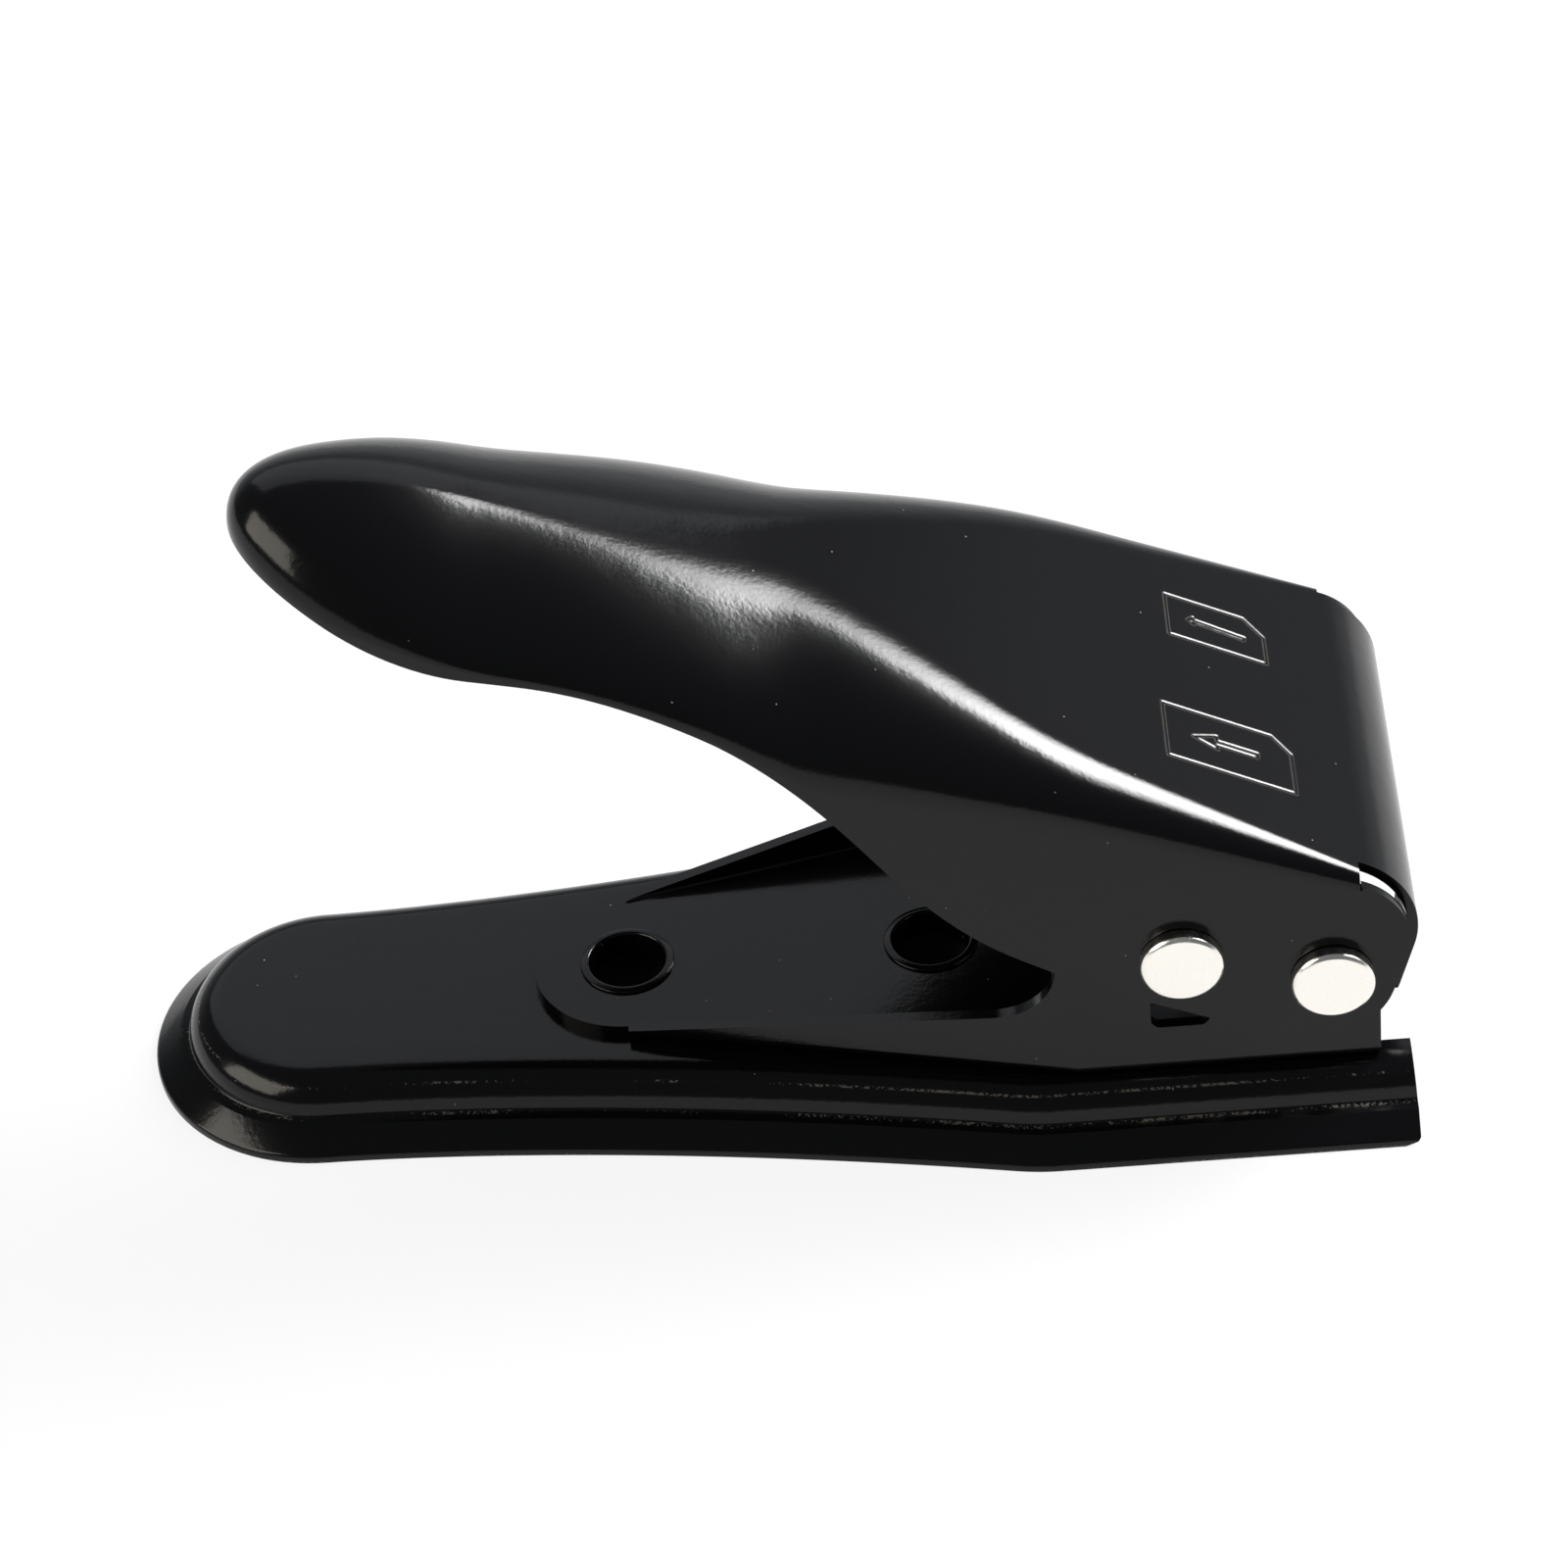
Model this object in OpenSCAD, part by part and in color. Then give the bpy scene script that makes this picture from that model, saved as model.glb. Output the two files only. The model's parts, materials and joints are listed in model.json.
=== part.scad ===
// Hand-lever card cutter: a pressed-steel stapler-style punch that trims SIM cards to two smaller sizes.
// +X points to the card mouth at the rear, -X to the thumb end, +Z up; the origin is under the middle
// of the base on the table. Millimetres.

/* [Base] */
// Distance from the origin to the base's front tip
base_front = 62.9; // [55:0.5:75]
// Distance from the origin to the base's rear edge
base_rear = 63.1; // [60:0.1:72]
// Radius of the base's round front end, at the table
base_nose_r = 17.7; // [15:0.5:19]
// How far the base's rear part stands out beyond the bracket, at the table
base_margin = 5.8; // [5:0.1:9]
// Where the base's side stops widening and runs parallel
base_kink_x = 25.3; // [15:1:30]
// Height of the base's flat top
base_h = 6.6; // [6:0.1:9]
// Thickness of the base's sheet
base_t = 1; // [0.8:0.1:1.2]
// Height of the upright lip that stands on the table
lip_h = 0.8; // [0.6:0.1:1]
// Height of the ledge where the sloping skirt ends
ledge_h = 2.9; // [2.4:0.1:3.2]
// Plan width of the sloping skirt
flare_w = 2.6; // [2:0.1:3]
// Width of the ledge
ledge_w = 1.1; // [0.8:0.1:1.4]
// How far the rear edge leans in from the table to the flat top
rear_lean = 0.4; // [0:0.1:1.2]

/* [Bracket] */
// Thickness of the bracket's sheet
bracket_t = 1.2; // [1:0.1:1.4]
// Outside radius of the bend at the foot of a wall
foot_r = 1.7; // [1.5:0.1:2]
// Radius of the bracket's round front tongue
tongue_r = 9.4; // [8:0.1:10]
// Angle at which each low flange spreads
flange_angle = 13; // [12:0.5:14]
// Distance from the pivot pin forward to where the low flanges run parallel
flange_reach = 24.9; // [24.5:0.1:26]
// Rise of each low flange's top edge, in mm per mm
flange_rise = 0.169; // [0.12:0.005:0.2]
// Distance from the pivot pin forward to the walls' front edge
wall_reach = 26.6; // [26:0.1:28]
// Height of the walls' top edge
wall_top = 28.5; // [28:0.1:29]
// Radius of the hollow where a flange's top edge turns up into the wall
wall_fillet_r = 7.5; // [4:0.5:8]

/* [Eyelets] */
// Position of the front eyelet
front_eyelet_x = -14.2; // [-16:0.1:-12]
// Position of the rear eyelet
rear_eyelet_x = 16.4; // [12:0.1:18]
// Radius of the hole through an eyelet
eyelet_hole_r = 3.85; // [3:0.05:4.5]
// Wall of an eyelet's tube
eyelet_t = 0.5; // [0.4:0.05:0.6]
// Overhang of an eyelet's rolled rims
eyelet_rim = 0.4; // [0.3:0.05:0.8]

/* [Pins] */
// Position of the pivot pin along the base
pivot_x = 54.8; // [54:0.1:55.5]
// Height of the pivot pin's axis
pivot_z = 19.7; // [19.5:0.1:20.5]
// Distance from the pivot pin forward to the drive pin
drive_back = 14.5; // [14.3:0.1:14.8]
// Height of the drive pin above the pivot pin, lever raised
drive_up = 3.6; // [3.4:0.1:3.8]
// Radius of both pins' shafts
pin_r = 2.4; // [2:0.05:2.5]
// Radius of the pins' flat heads
head_r = 4.05; // [3.5:0.05:4.5]
// Height of the pins' flat heads
head_h = 1.6; // [1:0.1:2]
// Chamfer round a head's outer edge
head_chamfer = 0.25; // [0.1:0.05:0.4]
// Thickness of the spacer washers beside the walls
washer_t = 0.6; // [0.4:0.05:0.8]
// Radius of the spacer washers
washer_r = 4.5; // [4:0.1:4.7]

/* [Lever] */
// Thickness of the lever's sheet
lever_t = 1; // [0.8:0.1:1.2]
// Distance from the pivot pin to the thumb end's tip
lever_reach = 101.7; // [98:0.1:105]
// Height of the thumb end's crown above the pivot pin, lever raised
thumb_rise = 60.3; // [57:0.5:63]
// Length over which the thumb end rounds off
thumb_nose_l = 21.8; // [18:0.1:24]
// Travel of the lever, in degrees
lever_travel = 28; // [20:1:28]
// Radius of the rolled rear end, outside
roll_r = 9.4; // [9.3:0.1:10.3]
// Length of the straight tail under the roll
roll_tail = 6.7; // [4:0.1:7]
// Half width of the opening in the roll's lower edge
roll_cut_w = 13.5; // [10:0.5:15]
// Height of that opening's top edge above the pivot pin
roll_cut_h = 1.3; // [0.5:0.1:2]
// Slit between an ear and the rolled strip
slit_w = 1.3; // [0.6:0.1:1.6]

/* [Punch set] */
// Width of a full-size card
card_w = 15; // [14.8:0.1:15]
// Length of a full-size card
card_l = 25; // [24:0.1:25]
// Height of the card channel
slot_h = 1; // [0.9:0.05:1.2]
// Play of the card across its channel
card_play = 0.2; // [0.1:0.05:0.3]
// Length and width of the micro card, with its cut corner
micro_size = [15, 12, 1.65];
// Length and width of the nano card, with its cut corner
nano_size = [12.3, 8.8, 1.1];
// Thickness of the die plate
die_t = 2; // [1.5:0.1:2.2]
// Thickness of the stripper plate
stripper_t = 1.1; // [0.8:0.1:1.2]
// Half width of the rail between the two channels
centre_rail_w = 2.5; // [2.4:0.1:2.6]
// Width of the rail outside each channel
side_rail_w = 0.65; // [0.5:0.05:1]
// Gap between the die set and the bend at the foot of a wall
die_play = 0.45; // [0.35:0.05:0.6]
// Half length of the punch carrier
carrier_half_l = 8.8; // [8.5:0.1:9]
// Height of the punch carrier
carrier_h = 8; // [7.5:0.1:8.2]
// Depth of the carrier below the drive pin's axis
carrier_drop = 4; // [3.8:0.1:4]
// Gap between a raised punch's tip and the card channel
tip_gap = 0.4; // [0.2:0.05:0.8]
// Distance of each guide post from the middle of the carrier
post_offset = 5.7; // [5.6:0.05:5.8]
// Radius of the guide posts
post_r = 0.9; // [0.7:0.05:1]
// Mean radius of the return springs
spring_r = 1.5; // [1.4:0.05:1.55]
// Diameter of the return springs' wire
spring_wire = 0.5; // [0.3:0.05:0.5]
// Turns of each return spring
spring_turns = 9; // [6:1:10]

/* [Screws] */
// Radius of the die set's screws
die_screw_r = 0.9; // [0.8:0.05:0.95]
// Radius of the punches' screws
punch_screw_r = 0.8; // [0.6:0.05:0.85]
// Height of the screws' heads
screw_head_h = 1.1; // [0.8:0.1:1.2]
// Distance of the punches' screws from the middle of the carrier
punch_screw_offset = 4.7; // [4.6:0.05:4.8]

/* [Fits] */
// Radial clearance where a piece turns or slides on a pin
running_fit = 0.05; // [0.02:0.01:0.1]
// Radial clearance where a piece is held fast
fixed_fit = 0.02; // [0.01:0.01:0.03]
// Clearance of a punch in the die and stripper plates
punch_fit = 0.06; // [0.03:0.01:0.1]

/* [Hidden] */
$fn = 48;
CUT = 1;             // how far a cutting solid runs past what it cuts
FACE = 0.05;         // gap between faces that slide past each other

floor_z = base_h + bracket_t;                         // top of the bracket's floor
channel_z = floor_z + die_t;                          // bottom of the card channel
stripper_z = channel_z + slot_h;                      // underside of the stripper plate
stripper_top = stripper_z + stripper_t;
drive_x = pivot_x - drive_back;
drive_z = pivot_z + drive_up;
card_y = centre_rail_w + (card_w + card_play) / 2;    // middle line of each card channel
rail_y = centre_rail_w + card_w + card_play;          // inner side of the side rails
die_half_w = rail_y + side_rail_w;                    // half width of the die set
bracket_half_w = die_half_w + die_play + foot_r;      // half width over the bracket's walls
base_half_w = bracket_half_w + base_margin;           // half width of the base's rear part
wall_rear = pin_r + 2.3;                              // radius of the wall round the pivot pin
wall_foot = wall_rear + 0.1;                          // wall metal behind the pivot pin, at the foot
wall_step_z = pivot_z - 5.4;                          // where the wall widens to its foot
wall_in = bracket_half_w - bracket_t;                 // half width between the walls
ear_in = bracket_half_w + washer_t + 2 * FACE;        // inside face of the lever's ears
ear_out = ear_in + lever_t;
drive_r = norm([drive_back, drive_up]);               // from the pivot pin to the drive pin
drive_a = atan2(drive_up, -drive_back);               // direction of the drive pin, lever raised
carrier_travel = drive_r * (sin(drive_a) - sin(drive_a + lever_travel));
drive_sweep = drive_r - drive_back;                   // how far the drive pin swings forward
carrier_x = drive_x - drive_sweep / 2;
carrier_z = drive_z - carrier_drop;
eyelet_r = eyelet_hole_r + eyelet_t;
stop_x = carrier_x - micro_size[0] / 2 - 1.6;         // face that the card's front end meets
flange_end_x = pivot_x - flange_reach;
flange_l = flange_end_x - front_eyelet_x;             // length of the spreading flanges
flange_start_w = bracket_half_w - flange_l * tan(flange_angle); // half width where they start
die_front = flange_end_x - 1.7;                       // behind the bracket's narrow part
die_rear = stop_x + card_l + 0.3;
notch_front = stop_x + 0.2;                           // front of the opening in the base's top
notch_half_w = die_half_w - 0.45;
tip_z = stripper_z + tip_gap;
die_screw_x = (die_front + stop_x) / 2;
rear_screw_x = die_rear - 3.2;
BLACK = [0.06, 0.06, 0.07];
NICKEL = [0.85, 0.84, 0.82];
STEEL = [0.6, 0.61, 0.63];

// ---- curves ----

// The point at angle a round c, and the points of an arc from angle a to angle b in n steps.
function on(c, r, a) = c + r * [cos(a), sin(a)];
function arc(c, r, a, b, n) = [for (i = [0:n]) on(c, r, a + (b - a) * i / n)];

// Height at x of a line of straight runs whose corners [x, y, w] are eased by parabolas 2 w long.
function rise(t, i) = (t[i + 1][1] - t[i][1]) / (t[i + 1][0] - t[i][0]);
function ease(u, w) = abs(u) < w ? pow(w - abs(u), 2) / (4 * w) : 0;
function corner(t, i, x) = (rise(t, i) - rise(t, i - 1)) * ease(x - t[i][0], t[i][2]);
function sum(v, i = 0) = i < len(v) ? v[i] + sum(v, i + 1) : 0;
function run(t, x) = lookup(x, [for (p = t) [p[0], p[1]]])
  + sum([for (i = [1:len(t) - 2]) corner(t, i, x)]);

// Direction of the normal of the line that touches circles c1 and c2 on the right of c1 -> c2.
function touch_a(c1, r1, c2, r2) =
  atan2(c2[1] - c1[1], c2[0] - c1[0]) - acos((r1 - r2) / norm(c2 - c1));

// Closed solid through equal rings of points, with a flat face on the first and the last ring. A ring
// has an even number of points, and each lies across from its mirror image j <-> n - 1 - j.
module loft(rings) {
  n = len(rings[0]);
  m = len(rings);
  half = n / 2;
  points = [for (ring = rings) each ring];
  sides = [for (i = [0:m - 2], j = [0:n - 1]) each
    [[i * n + j, (i + 1) * n + (j + 1) % n, (i + 1) * n + j],
     [i * n + j, i * n + (j + 1) % n, (i + 1) * n + (j + 1) % n]]];
  first = [for (j = [0:half - 2]) [n - 1 - j, n - 2 - j, j + 1, j]];
  last = [for (j = [0:half - 2]) [for (k = [j, j + 1, n - 2 - j, n - 1 - j]) (m - 1) * n + k]];
  polyhedron(points, concat(sides, first, last), convexity = 6);
}

// Extrudes an outline drawn in x and z from y = from to y = to.
module across(from, to) {
  translate([0, to, 0])
    rotate([90, 0, 0])
      linear_extrude(to - from)
        children();
}

// ---- base ----

base_side_l = base_kink_x + base_front - base_nose_r; // from the round nose to the kink
base_nose_c = [base_nose_r - base_front, 0];

// Half width of the base at x, behind its round nose.
function base_half(x) = base_nose_r
  + (base_half_w - base_nose_r) * pow(min(1, (x - base_nose_c[0]) / base_side_l), 1.7);

// The base's outline, in by d on each side: rear left corner, round the nose, rear right corner.
function base_outline(d, rear) =
  let (side = [for (x = [rear, base_kink_x + 2, base_kink_x - 2, for (k = [7:-1:1]) base_nose_c[0]
         + (base_kink_x - base_nose_c[0]) * k / 8]) [x, -base_half(x) + d]],
       nose = arc(base_nose_c, base_nose_r - d, 270, 90, 21))
  concat(side, nose, [for (i = [len(side) - 1:-1:0]) [side[i][0], -side[i][1]]]);

// Heights and insets of the pressed section from the table to the flat top; grow is the wall.
base_shoulder_r = base_h - ledge_h;
ledge_fall = 0.1;                  // the ledge drops a little towards its outer edge
function base_section(grow) = concat(
  [[grow, grow > 0 ? -CUT : 0], [grow, lip_h], [flare_w + grow, ledge_h - ledge_fall - grow],
   [flare_w + ledge_w + grow, ledge_h - grow]],
  [for (a = [15:15:90]) [flare_w + ledge_w + grow + (base_shoulder_r) * (1 - cos(a)),
                         ledge_h - grow + base_shoulder_r * sin(a)]]);

module base_solid(grow, rear) {
  loft([for (s = base_section(grow))
    [for (p = base_outline(s[0], rear - rear_lean * max(0, s[1]) / base_h)) [p[0], p[1], s[1]]]]);
}

// The opening in the base's top, where the cut pieces fall out, with rounded inner corners.
module base_notch() {
  translate([notch_front, -notch_half_w, -CUT])
    cube([base_rear - notch_front + CUT, 2 * notch_half_w, base_h + 2 * CUT]);
}

module base() {
  color(BLACK)
    difference() {
      base_solid(0, base_rear);
      base_solid(base_t, base_rear + 2 * CUT);
      base_notch();
      for (x = [front_eyelet_x, rear_eyelet_x])
        translate([x, 0, 0])
          cylinder(h = base_h + CUT, r = eyelet_r + fixed_fit);
    }
}

// ---- bracket ----

// Height of a low flange's top edge at x.
function flange_top(x) = floor_z + 0.15 + flange_rise * (x - front_eyelet_x);

// Side view of the flange and wall together.
module bracket_side() {
  front = pivot_x - wall_reach;
  fillet_x = front - wall_fillet_r;
  slope = atan(flange_rise);
  fillet_z = flange_top(fillet_x) + wall_fillet_r / cos(slope);
  corner_r = 3;
  pin = [pivot_x, pivot_z];
  top = [pivot_x - 9, wall_top];
  a = touch_a(pin, wall_rear, top, 0);
  polygon(concat(
    [[front_eyelet_x, base_h - CUT], [front_eyelet_x, flange_top(front_eyelet_x)]],
    arc([fillet_x, fillet_z], wall_fillet_r, slope - 90, 0, 8),
    arc([front + corner_r, wall_top - corner_r], corner_r, 180, 90, 5),
    [top],
    arc(pin, wall_rear, a, -50, 9),
    [[pivot_x + wall_rear * cos(50), wall_step_z], [pivot_x + wall_foot, wall_step_z - 1],
     [pivot_x + wall_foot, base_h - CUT]]));
}

// Half of a U section from x = 0 to length, with the wall's outside at y = 0 and its foot along +y.
foot_w = 1;                        // flat part of the foot, half of which the floor overlaps
module bent_strip(length) {
  rotate([90, 0, 90])
    linear_extrude(length) {
      translate([foot_r, base_h])
        square([foot_w, bracket_t]);
      translate([0, base_h + foot_r])
        square([bracket_t, wall_top]);
      intersection() {
        difference() {
          translate([foot_r, base_h + foot_r])
            circle(foot_r);
          translate([foot_r, base_h + foot_r])
            circle(foot_r - bracket_t);
        }
        translate([0, base_h])
          square(foot_r);
      }
    }
}

// One side of the bracket: the spreading flange in front and the parallel wall behind, which meet in
// the plane that halves the angle between them.
module bracket_half() {
  size = bracket_half_w * 4;
  intersection() {
    translate([flange_end_x, -bracket_half_w, 0])
      union() {
        intersection() {
          translate([-foot_r, 0, 0])
            bent_strip(pivot_x + wall_foot - flange_end_x + foot_r + CUT);
          rotate([0, 0, -flange_angle / 2])
            translate([0, -size / 2, 0])
              cube(size);
        }
        intersection() {
          rotate([0, 0, -flange_angle])
            translate([foot_r, 0, 0])
              mirror([1, 0, 0])
                bent_strip(flange_l / cos(flange_angle) + foot_r + CUT);
          rotate([0, 0, -flange_angle / 2])
            translate([-size, -size / 2, 0])
              cube(size);
        }
      }
    across(-bracket_half_w - CUT, 0)
      bracket_side();
  }
}

module bracket_floor() {
  inset = foot_r + foot_w / 2;
  start = flange_start_w - inset;
  end = bracket_half_w - inset;
  translate([0, 0, base_h])
    linear_extrude(bracket_t) {
      intersection() {
        translate([front_eyelet_x, 0])
          circle(tongue_r);
        translate([front_eyelet_x - tongue_r, -tongue_r])
          square([tongue_r, 2 * tongue_r]);
      }
      polygon([[front_eyelet_x, -start], [flange_end_x, -end], [die_rear, -end],
        [die_rear, end], [flange_end_x, end], [front_eyelet_x, start]]);
    }
}

// The slot that the drive pin moves down in, centred on the pin's swing.
slot_bottom = drive_z - carrier_travel - pin_r - 0.75;
module drive_slot() {
  half = pin_r + drive_sweep / 2 + 0.25;
  r = 1;
  top = drive_z + pin_r + 0.6;
  across(-bracket_half_w - CUT, bracket_half_w + CUT) {
    translate([carrier_x - half, slot_bottom + r])
      square([2 * half, top - slot_bottom - r]);
    translate([carrier_x - half + r, slot_bottom])
      square([2 * half - 2 * r, 2 * r]);
    for (s = [-1, 1])
      translate([carrier_x + s * (half - r), slot_bottom + r])
        circle(r);
  }
}

module bracket() {
  color(BLACK)
    difference() {
      union() {
        bracket_floor();
        bracket_half();
        mirror([0, 1, 0])
          bracket_half();
      }
      for (x = [front_eyelet_x, rear_eyelet_x])
        translate([x, 0, base_h - CUT])
          cylinder(h = bracket_t + 2 * CUT, r = eyelet_r + fixed_fit);
      drive_slot();
      pin_bore(pivot_x, pivot_z, bracket_half_w + CUT, pin_r + fixed_fit);
      for (punch = [micro_size, nano_size])
        translate([0, 0, base_h - CUT])
          linear_extrude(bracket_t + 2 * CUT)
            punch_outline(punch, 0.4);
      for (at = die_screw_spots)
        translate([at[0], at[1], base_h - CUT])
          cylinder(h = bracket_t + 2 * CUT, r = die_screw_r + fixed_fit);
    }
}

module pin_bore(x, z, half, r) {
  translate([x, -half, z])
    rotate([-90, 0, 0])
      cylinder(h = 2 * half, r = r);
}

// A tube whose two rims are rolled out over the bracket and under the base's top.
module eyelet(x) {
  rim_h = 0.5;
  color(BLACK)
    translate([x, 0, 0])
      rotate_extrude()
        polygon([[eyelet_hole_r, base_h - base_t - rim_h], [eyelet_r + eyelet_rim, base_h - base_t - rim_h],
          [eyelet_r + eyelet_rim, base_h - base_t], [eyelet_r, base_h - base_t], [eyelet_r, floor_z],
          [eyelet_r + eyelet_rim, floor_z], [eyelet_r + eyelet_rim, floor_z + rim_h / 2],
          [eyelet_r, floor_z + rim_h], [eyelet_hole_r, floor_z + rim_h]]);
}

module front_eyelet() { eyelet(front_eyelet_x); }
module rear_eyelet() { eyelet(rear_eyelet_x); }

// ---- lever, drawn about the pivot pin ----

// Corners [x, height or half width, easing] of the lever's lines, measured from the pivot pin.
thumb_x = -lever_reach;
RIM = [[thumb_x, thumb_rise - 11.8, 0], [thumb_x + 15, thumb_rise - 20.3, 7], [-66, thumb_rise - 23, 9],
  [-51, 28.4, 6], [-37, 9.2, 5], [-25, 1.8, 7], [5, -12.9, 0]];
CROWN = [[thumb_x, thumb_rise, 0], [thumb_x + 25, thumb_rise - 12.5, 12], [-47, 38.8, 12],
  [-23, 25.9, 8], [5, 11.4, 0]];
SIDE = [[thumb_x, ear_out - 9.2, 0], [-77, ear_out - 6.9, 12], [-55, ear_out - 2.8, 12], [-29, ear_out, 8],
  [5, ear_out, 0]];
SHOULDER = [[thumb_x, 35, 0], [-25, 6.2, 6], [5, 2.3, 0]];
lever_rear = 2.8;                  // where the shell ends and the rolled strip starts
ear_front = -19;                   // where the flat ears start
ring_gap = 5.5;                    // distance between the rings of the long part
ear_low = [-1.8, 0, 8.1];          // centre and radius of an ear's lower corner
ear_high = [-0.1, 4.2, 7.7];       // centre and radius of an ear's rear corner
top_slope = atan(-rise(CROWN, 3)); // fall of the lever's flat top towards the rear
top_t = lever_t / cos(top_slope);  // the sheet's thickness measured straight down

// One ring of the lever's shell: near rim, over the crown, far rim.
function lever_ring(x, g, rim_z) =
  let (tip = thumb_x + g, l = thumb_nose_l - g,
       s = max(0, (tip + l - x) / l), f = sqrt(max(0, 1 - s * s)),
       rim = run(RIM, x),
       w = (run(SIDE, x) - g) * f,
       top = rim + (run(CROWN, x) - g * top_t / lever_t - rim) * (s > 0 ? f : 1),
       a = min(0.96 * w, max(0.3, run(SHOULDER, x) - g)),
       b = min(0.94 * (top - rim), s > 0 ? 99 : 0.72 * a + 0.7),
       z0 = rim_z == undef ? (g > 0 ? rim - 12 : rim) : rim_z)
  concat([[x, -w, z0]],
    [for (t = [0:15:90]) [x, -w + a - a * cos(t), top - b + b * sin(t)]],
    [for (t = [90:-15:0]) [x, w - a + a * cos(t), top - b + b * sin(t)]],
    [[x, w, z0]]);

function lever_stations(g) = concat(
  [for (a = [7, 16, 26, 38, 50, 63, 76]) thumb_x + g + (thumb_nose_l - g) * (1 - cos(a))],
  [for (x = [thumb_x + thumb_nose_l:ring_gap:ear_front - ring_gap / 2]) x], [ear_front - 0.02]);

// Height above the pivot pin at which the shell stops above the flat ears.
function ear_seam(x) = run(CROWN, x) - 9;

module lever_solid(g, rear) {
  loft(concat([for (x = lever_stations(g)) lever_ring(x, g)],
    [for (x = [ear_front, -11, lever_rear, each rear]) lever_ring(x, g, ear_seam(x) - (g > 0 ? 12 : 0))]));
}

// Side view of one flat ear, behind the shell.
module ear_side() {
  front = [ear_front, run(RIM, ear_front)];
  low = [ear_low[0], ear_low[1]];
  high = [ear_high[0], ear_high[1]];
  a = touch_a(front, 0, low, ear_low[2]);
  b = touch_a(low, ear_low[2], high, ear_high[2]);
  seam = 1;                        // overlap with the shell
  polygon(concat([front], arc(low, ear_low[2], a, b, 8), arc(high, ear_high[2], b, 70, 12),
    [[ear_high[0] - 2, ear_seam(ear_high[0] - 2) + seam], [ear_front, ear_seam(ear_front) + seam]]));
}

// Side view of the strip that rolls down behind the ears and ends in a straight tail.
module roll_side() {
  seam = lever_rear - 1;           // overlap with the shell
  start = lever_rear + 0.65;       // where the roll starts
  last = -17.5;                    // direction in which the roll ends
  c = on([start, run(CROWN, start)], roll_r, 270 - top_slope);
  tail = roll_tail * [cos(last - 90), sin(last - 90)];
  inner_r = roll_r - lever_t;
  polygon(concat([[seam, run(CROWN, seam)]],
    arc(c, roll_r, 90 - top_slope, last, 16),
    [on(c, roll_r, last) + tail, on(c, inner_r, last) + tail],
    arc(c, inner_r, last, 90 - top_slope, 16),
    [[seam, run(CROWN, seam) - top_t]]));
}

// The opening in the roll's lower edge, over the card channels, with rounded upper corners.
module roll_opening() {
  r = 3;
  translate([lever_rear, 0, roll_cut_h - roll_r])
    rotate([90, 0, 90])
      linear_extrude(2 * roll_r) {
        translate([-roll_cut_w, -roll_r])
          square([2 * roll_cut_w, 2 * roll_r - r]);
        translate([r - roll_cut_w, -roll_r])
          square([2 * roll_cut_w - 2 * r, 2 * roll_r]);
        for (y = [r - roll_cut_w, roll_cut_w - r])
          translate([y, roll_r - r])
            circle(r);
      }
}

module lever() {
  color(BLACK)
    translate([pivot_x, 0, pivot_z])
      difference() {
        union() {
          difference() {
            lever_solid(0, []);
            lever_solid(lever_t, [lever_rear + CUT]);
          }
          for (s = [-1, 1])
            across(s > 0 ? ear_in : -ear_out, s > 0 ? ear_out : -ear_in)
              ear_side();
          across(slit_w - ear_in, ear_in - slit_w)
            roll_side();
        }
        roll_opening();
        pin_bore(0, 0, ear_out + CUT, pin_r + running_fit);
        pin_bore(-drive_back, drive_up, ear_out + CUT, pin_r + fixed_fit);
      }
}

// ---- pins and washers ----

// A shaft across the tool with a flat, chamfered head at each end.
module headed_pin(x, z, seat) {
  color(NICKEL)
    translate([x, 0, z]) {
      pin_bore(0, 0, seat, pin_r);
      for (s = [0, 180])
        rotate([90, 0, s])
          translate([0, 0, seat]) {
            cylinder(h = head_h - head_chamfer, r = head_r);
            translate([0, 0, head_h - head_chamfer])
              cylinder(h = head_chamfer, r1 = head_r, r2 = head_r - head_chamfer);
          }
    }
}

module pivot_pin() { headed_pin(pivot_x, pivot_z, ear_out + FACE); }
module drive_pin() { headed_pin(drive_x, drive_z, ear_out); }

module pivot_washers() {
  color(STEEL)
    for (s = [-1, 1])
      translate([pivot_x, s * (bracket_half_w + FACE + washer_t / 2), pivot_z])
        rotate([90, 0, 0])
          difference() {
            cylinder(h = washer_t, r = washer_r, center = true);
            cylinder(h = washer_t + CUT, r = pin_r + running_fit, center = true);
          }
}

// ---- die set ----

die_screw_spots = [[die_screw_x, -card_y], [die_screw_x, card_y], [rear_screw_x, 0]];
post_spots = [[carrier_x - post_offset, 0], [carrier_x + post_offset, 0]];

// Outline of a cut card, grown by fit: a rectangle with one corner off, in its own channel.
module punch_outline(size, fit) {
  l = size[0] / 2 + fit;
  w = size[1] / 2 + fit;
  c = size[2] * 1.5;
  y = size == micro_size ? -card_y : card_y;
  translate([carrier_x, y])
    polygon([[-l, -w], [l - c, -w], [l, c - w], [l, w], [-l, w]]);
}

// A plate of the die set from z up by t, cut for both punches, the posts and the screws.
module die_layer(z, t, fit, post_hole) {
  difference() {
    translate([die_front, -die_half_w, z])
      cube([die_rear - die_front, 2 * die_half_w, t]);
    for (punch = [micro_size, nano_size])
      translate([0, 0, z - CUT])
        linear_extrude(t + 2 * CUT)
          punch_outline(punch, fit);
    layer_holes(z, t, post_hole);
  }
}

module layer_holes(z, t, post_hole) {
  for (at = die_screw_spots)
    translate([at[0], at[1], z - CUT])
      cylinder(h = t + 2 * CUT, r = die_screw_r + fixed_fit);
  for (at = post_spots)
    translate([at[0], at[1], z - CUT])
      cylinder(h = t + 2 * CUT, r = post_hole);
}

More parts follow.
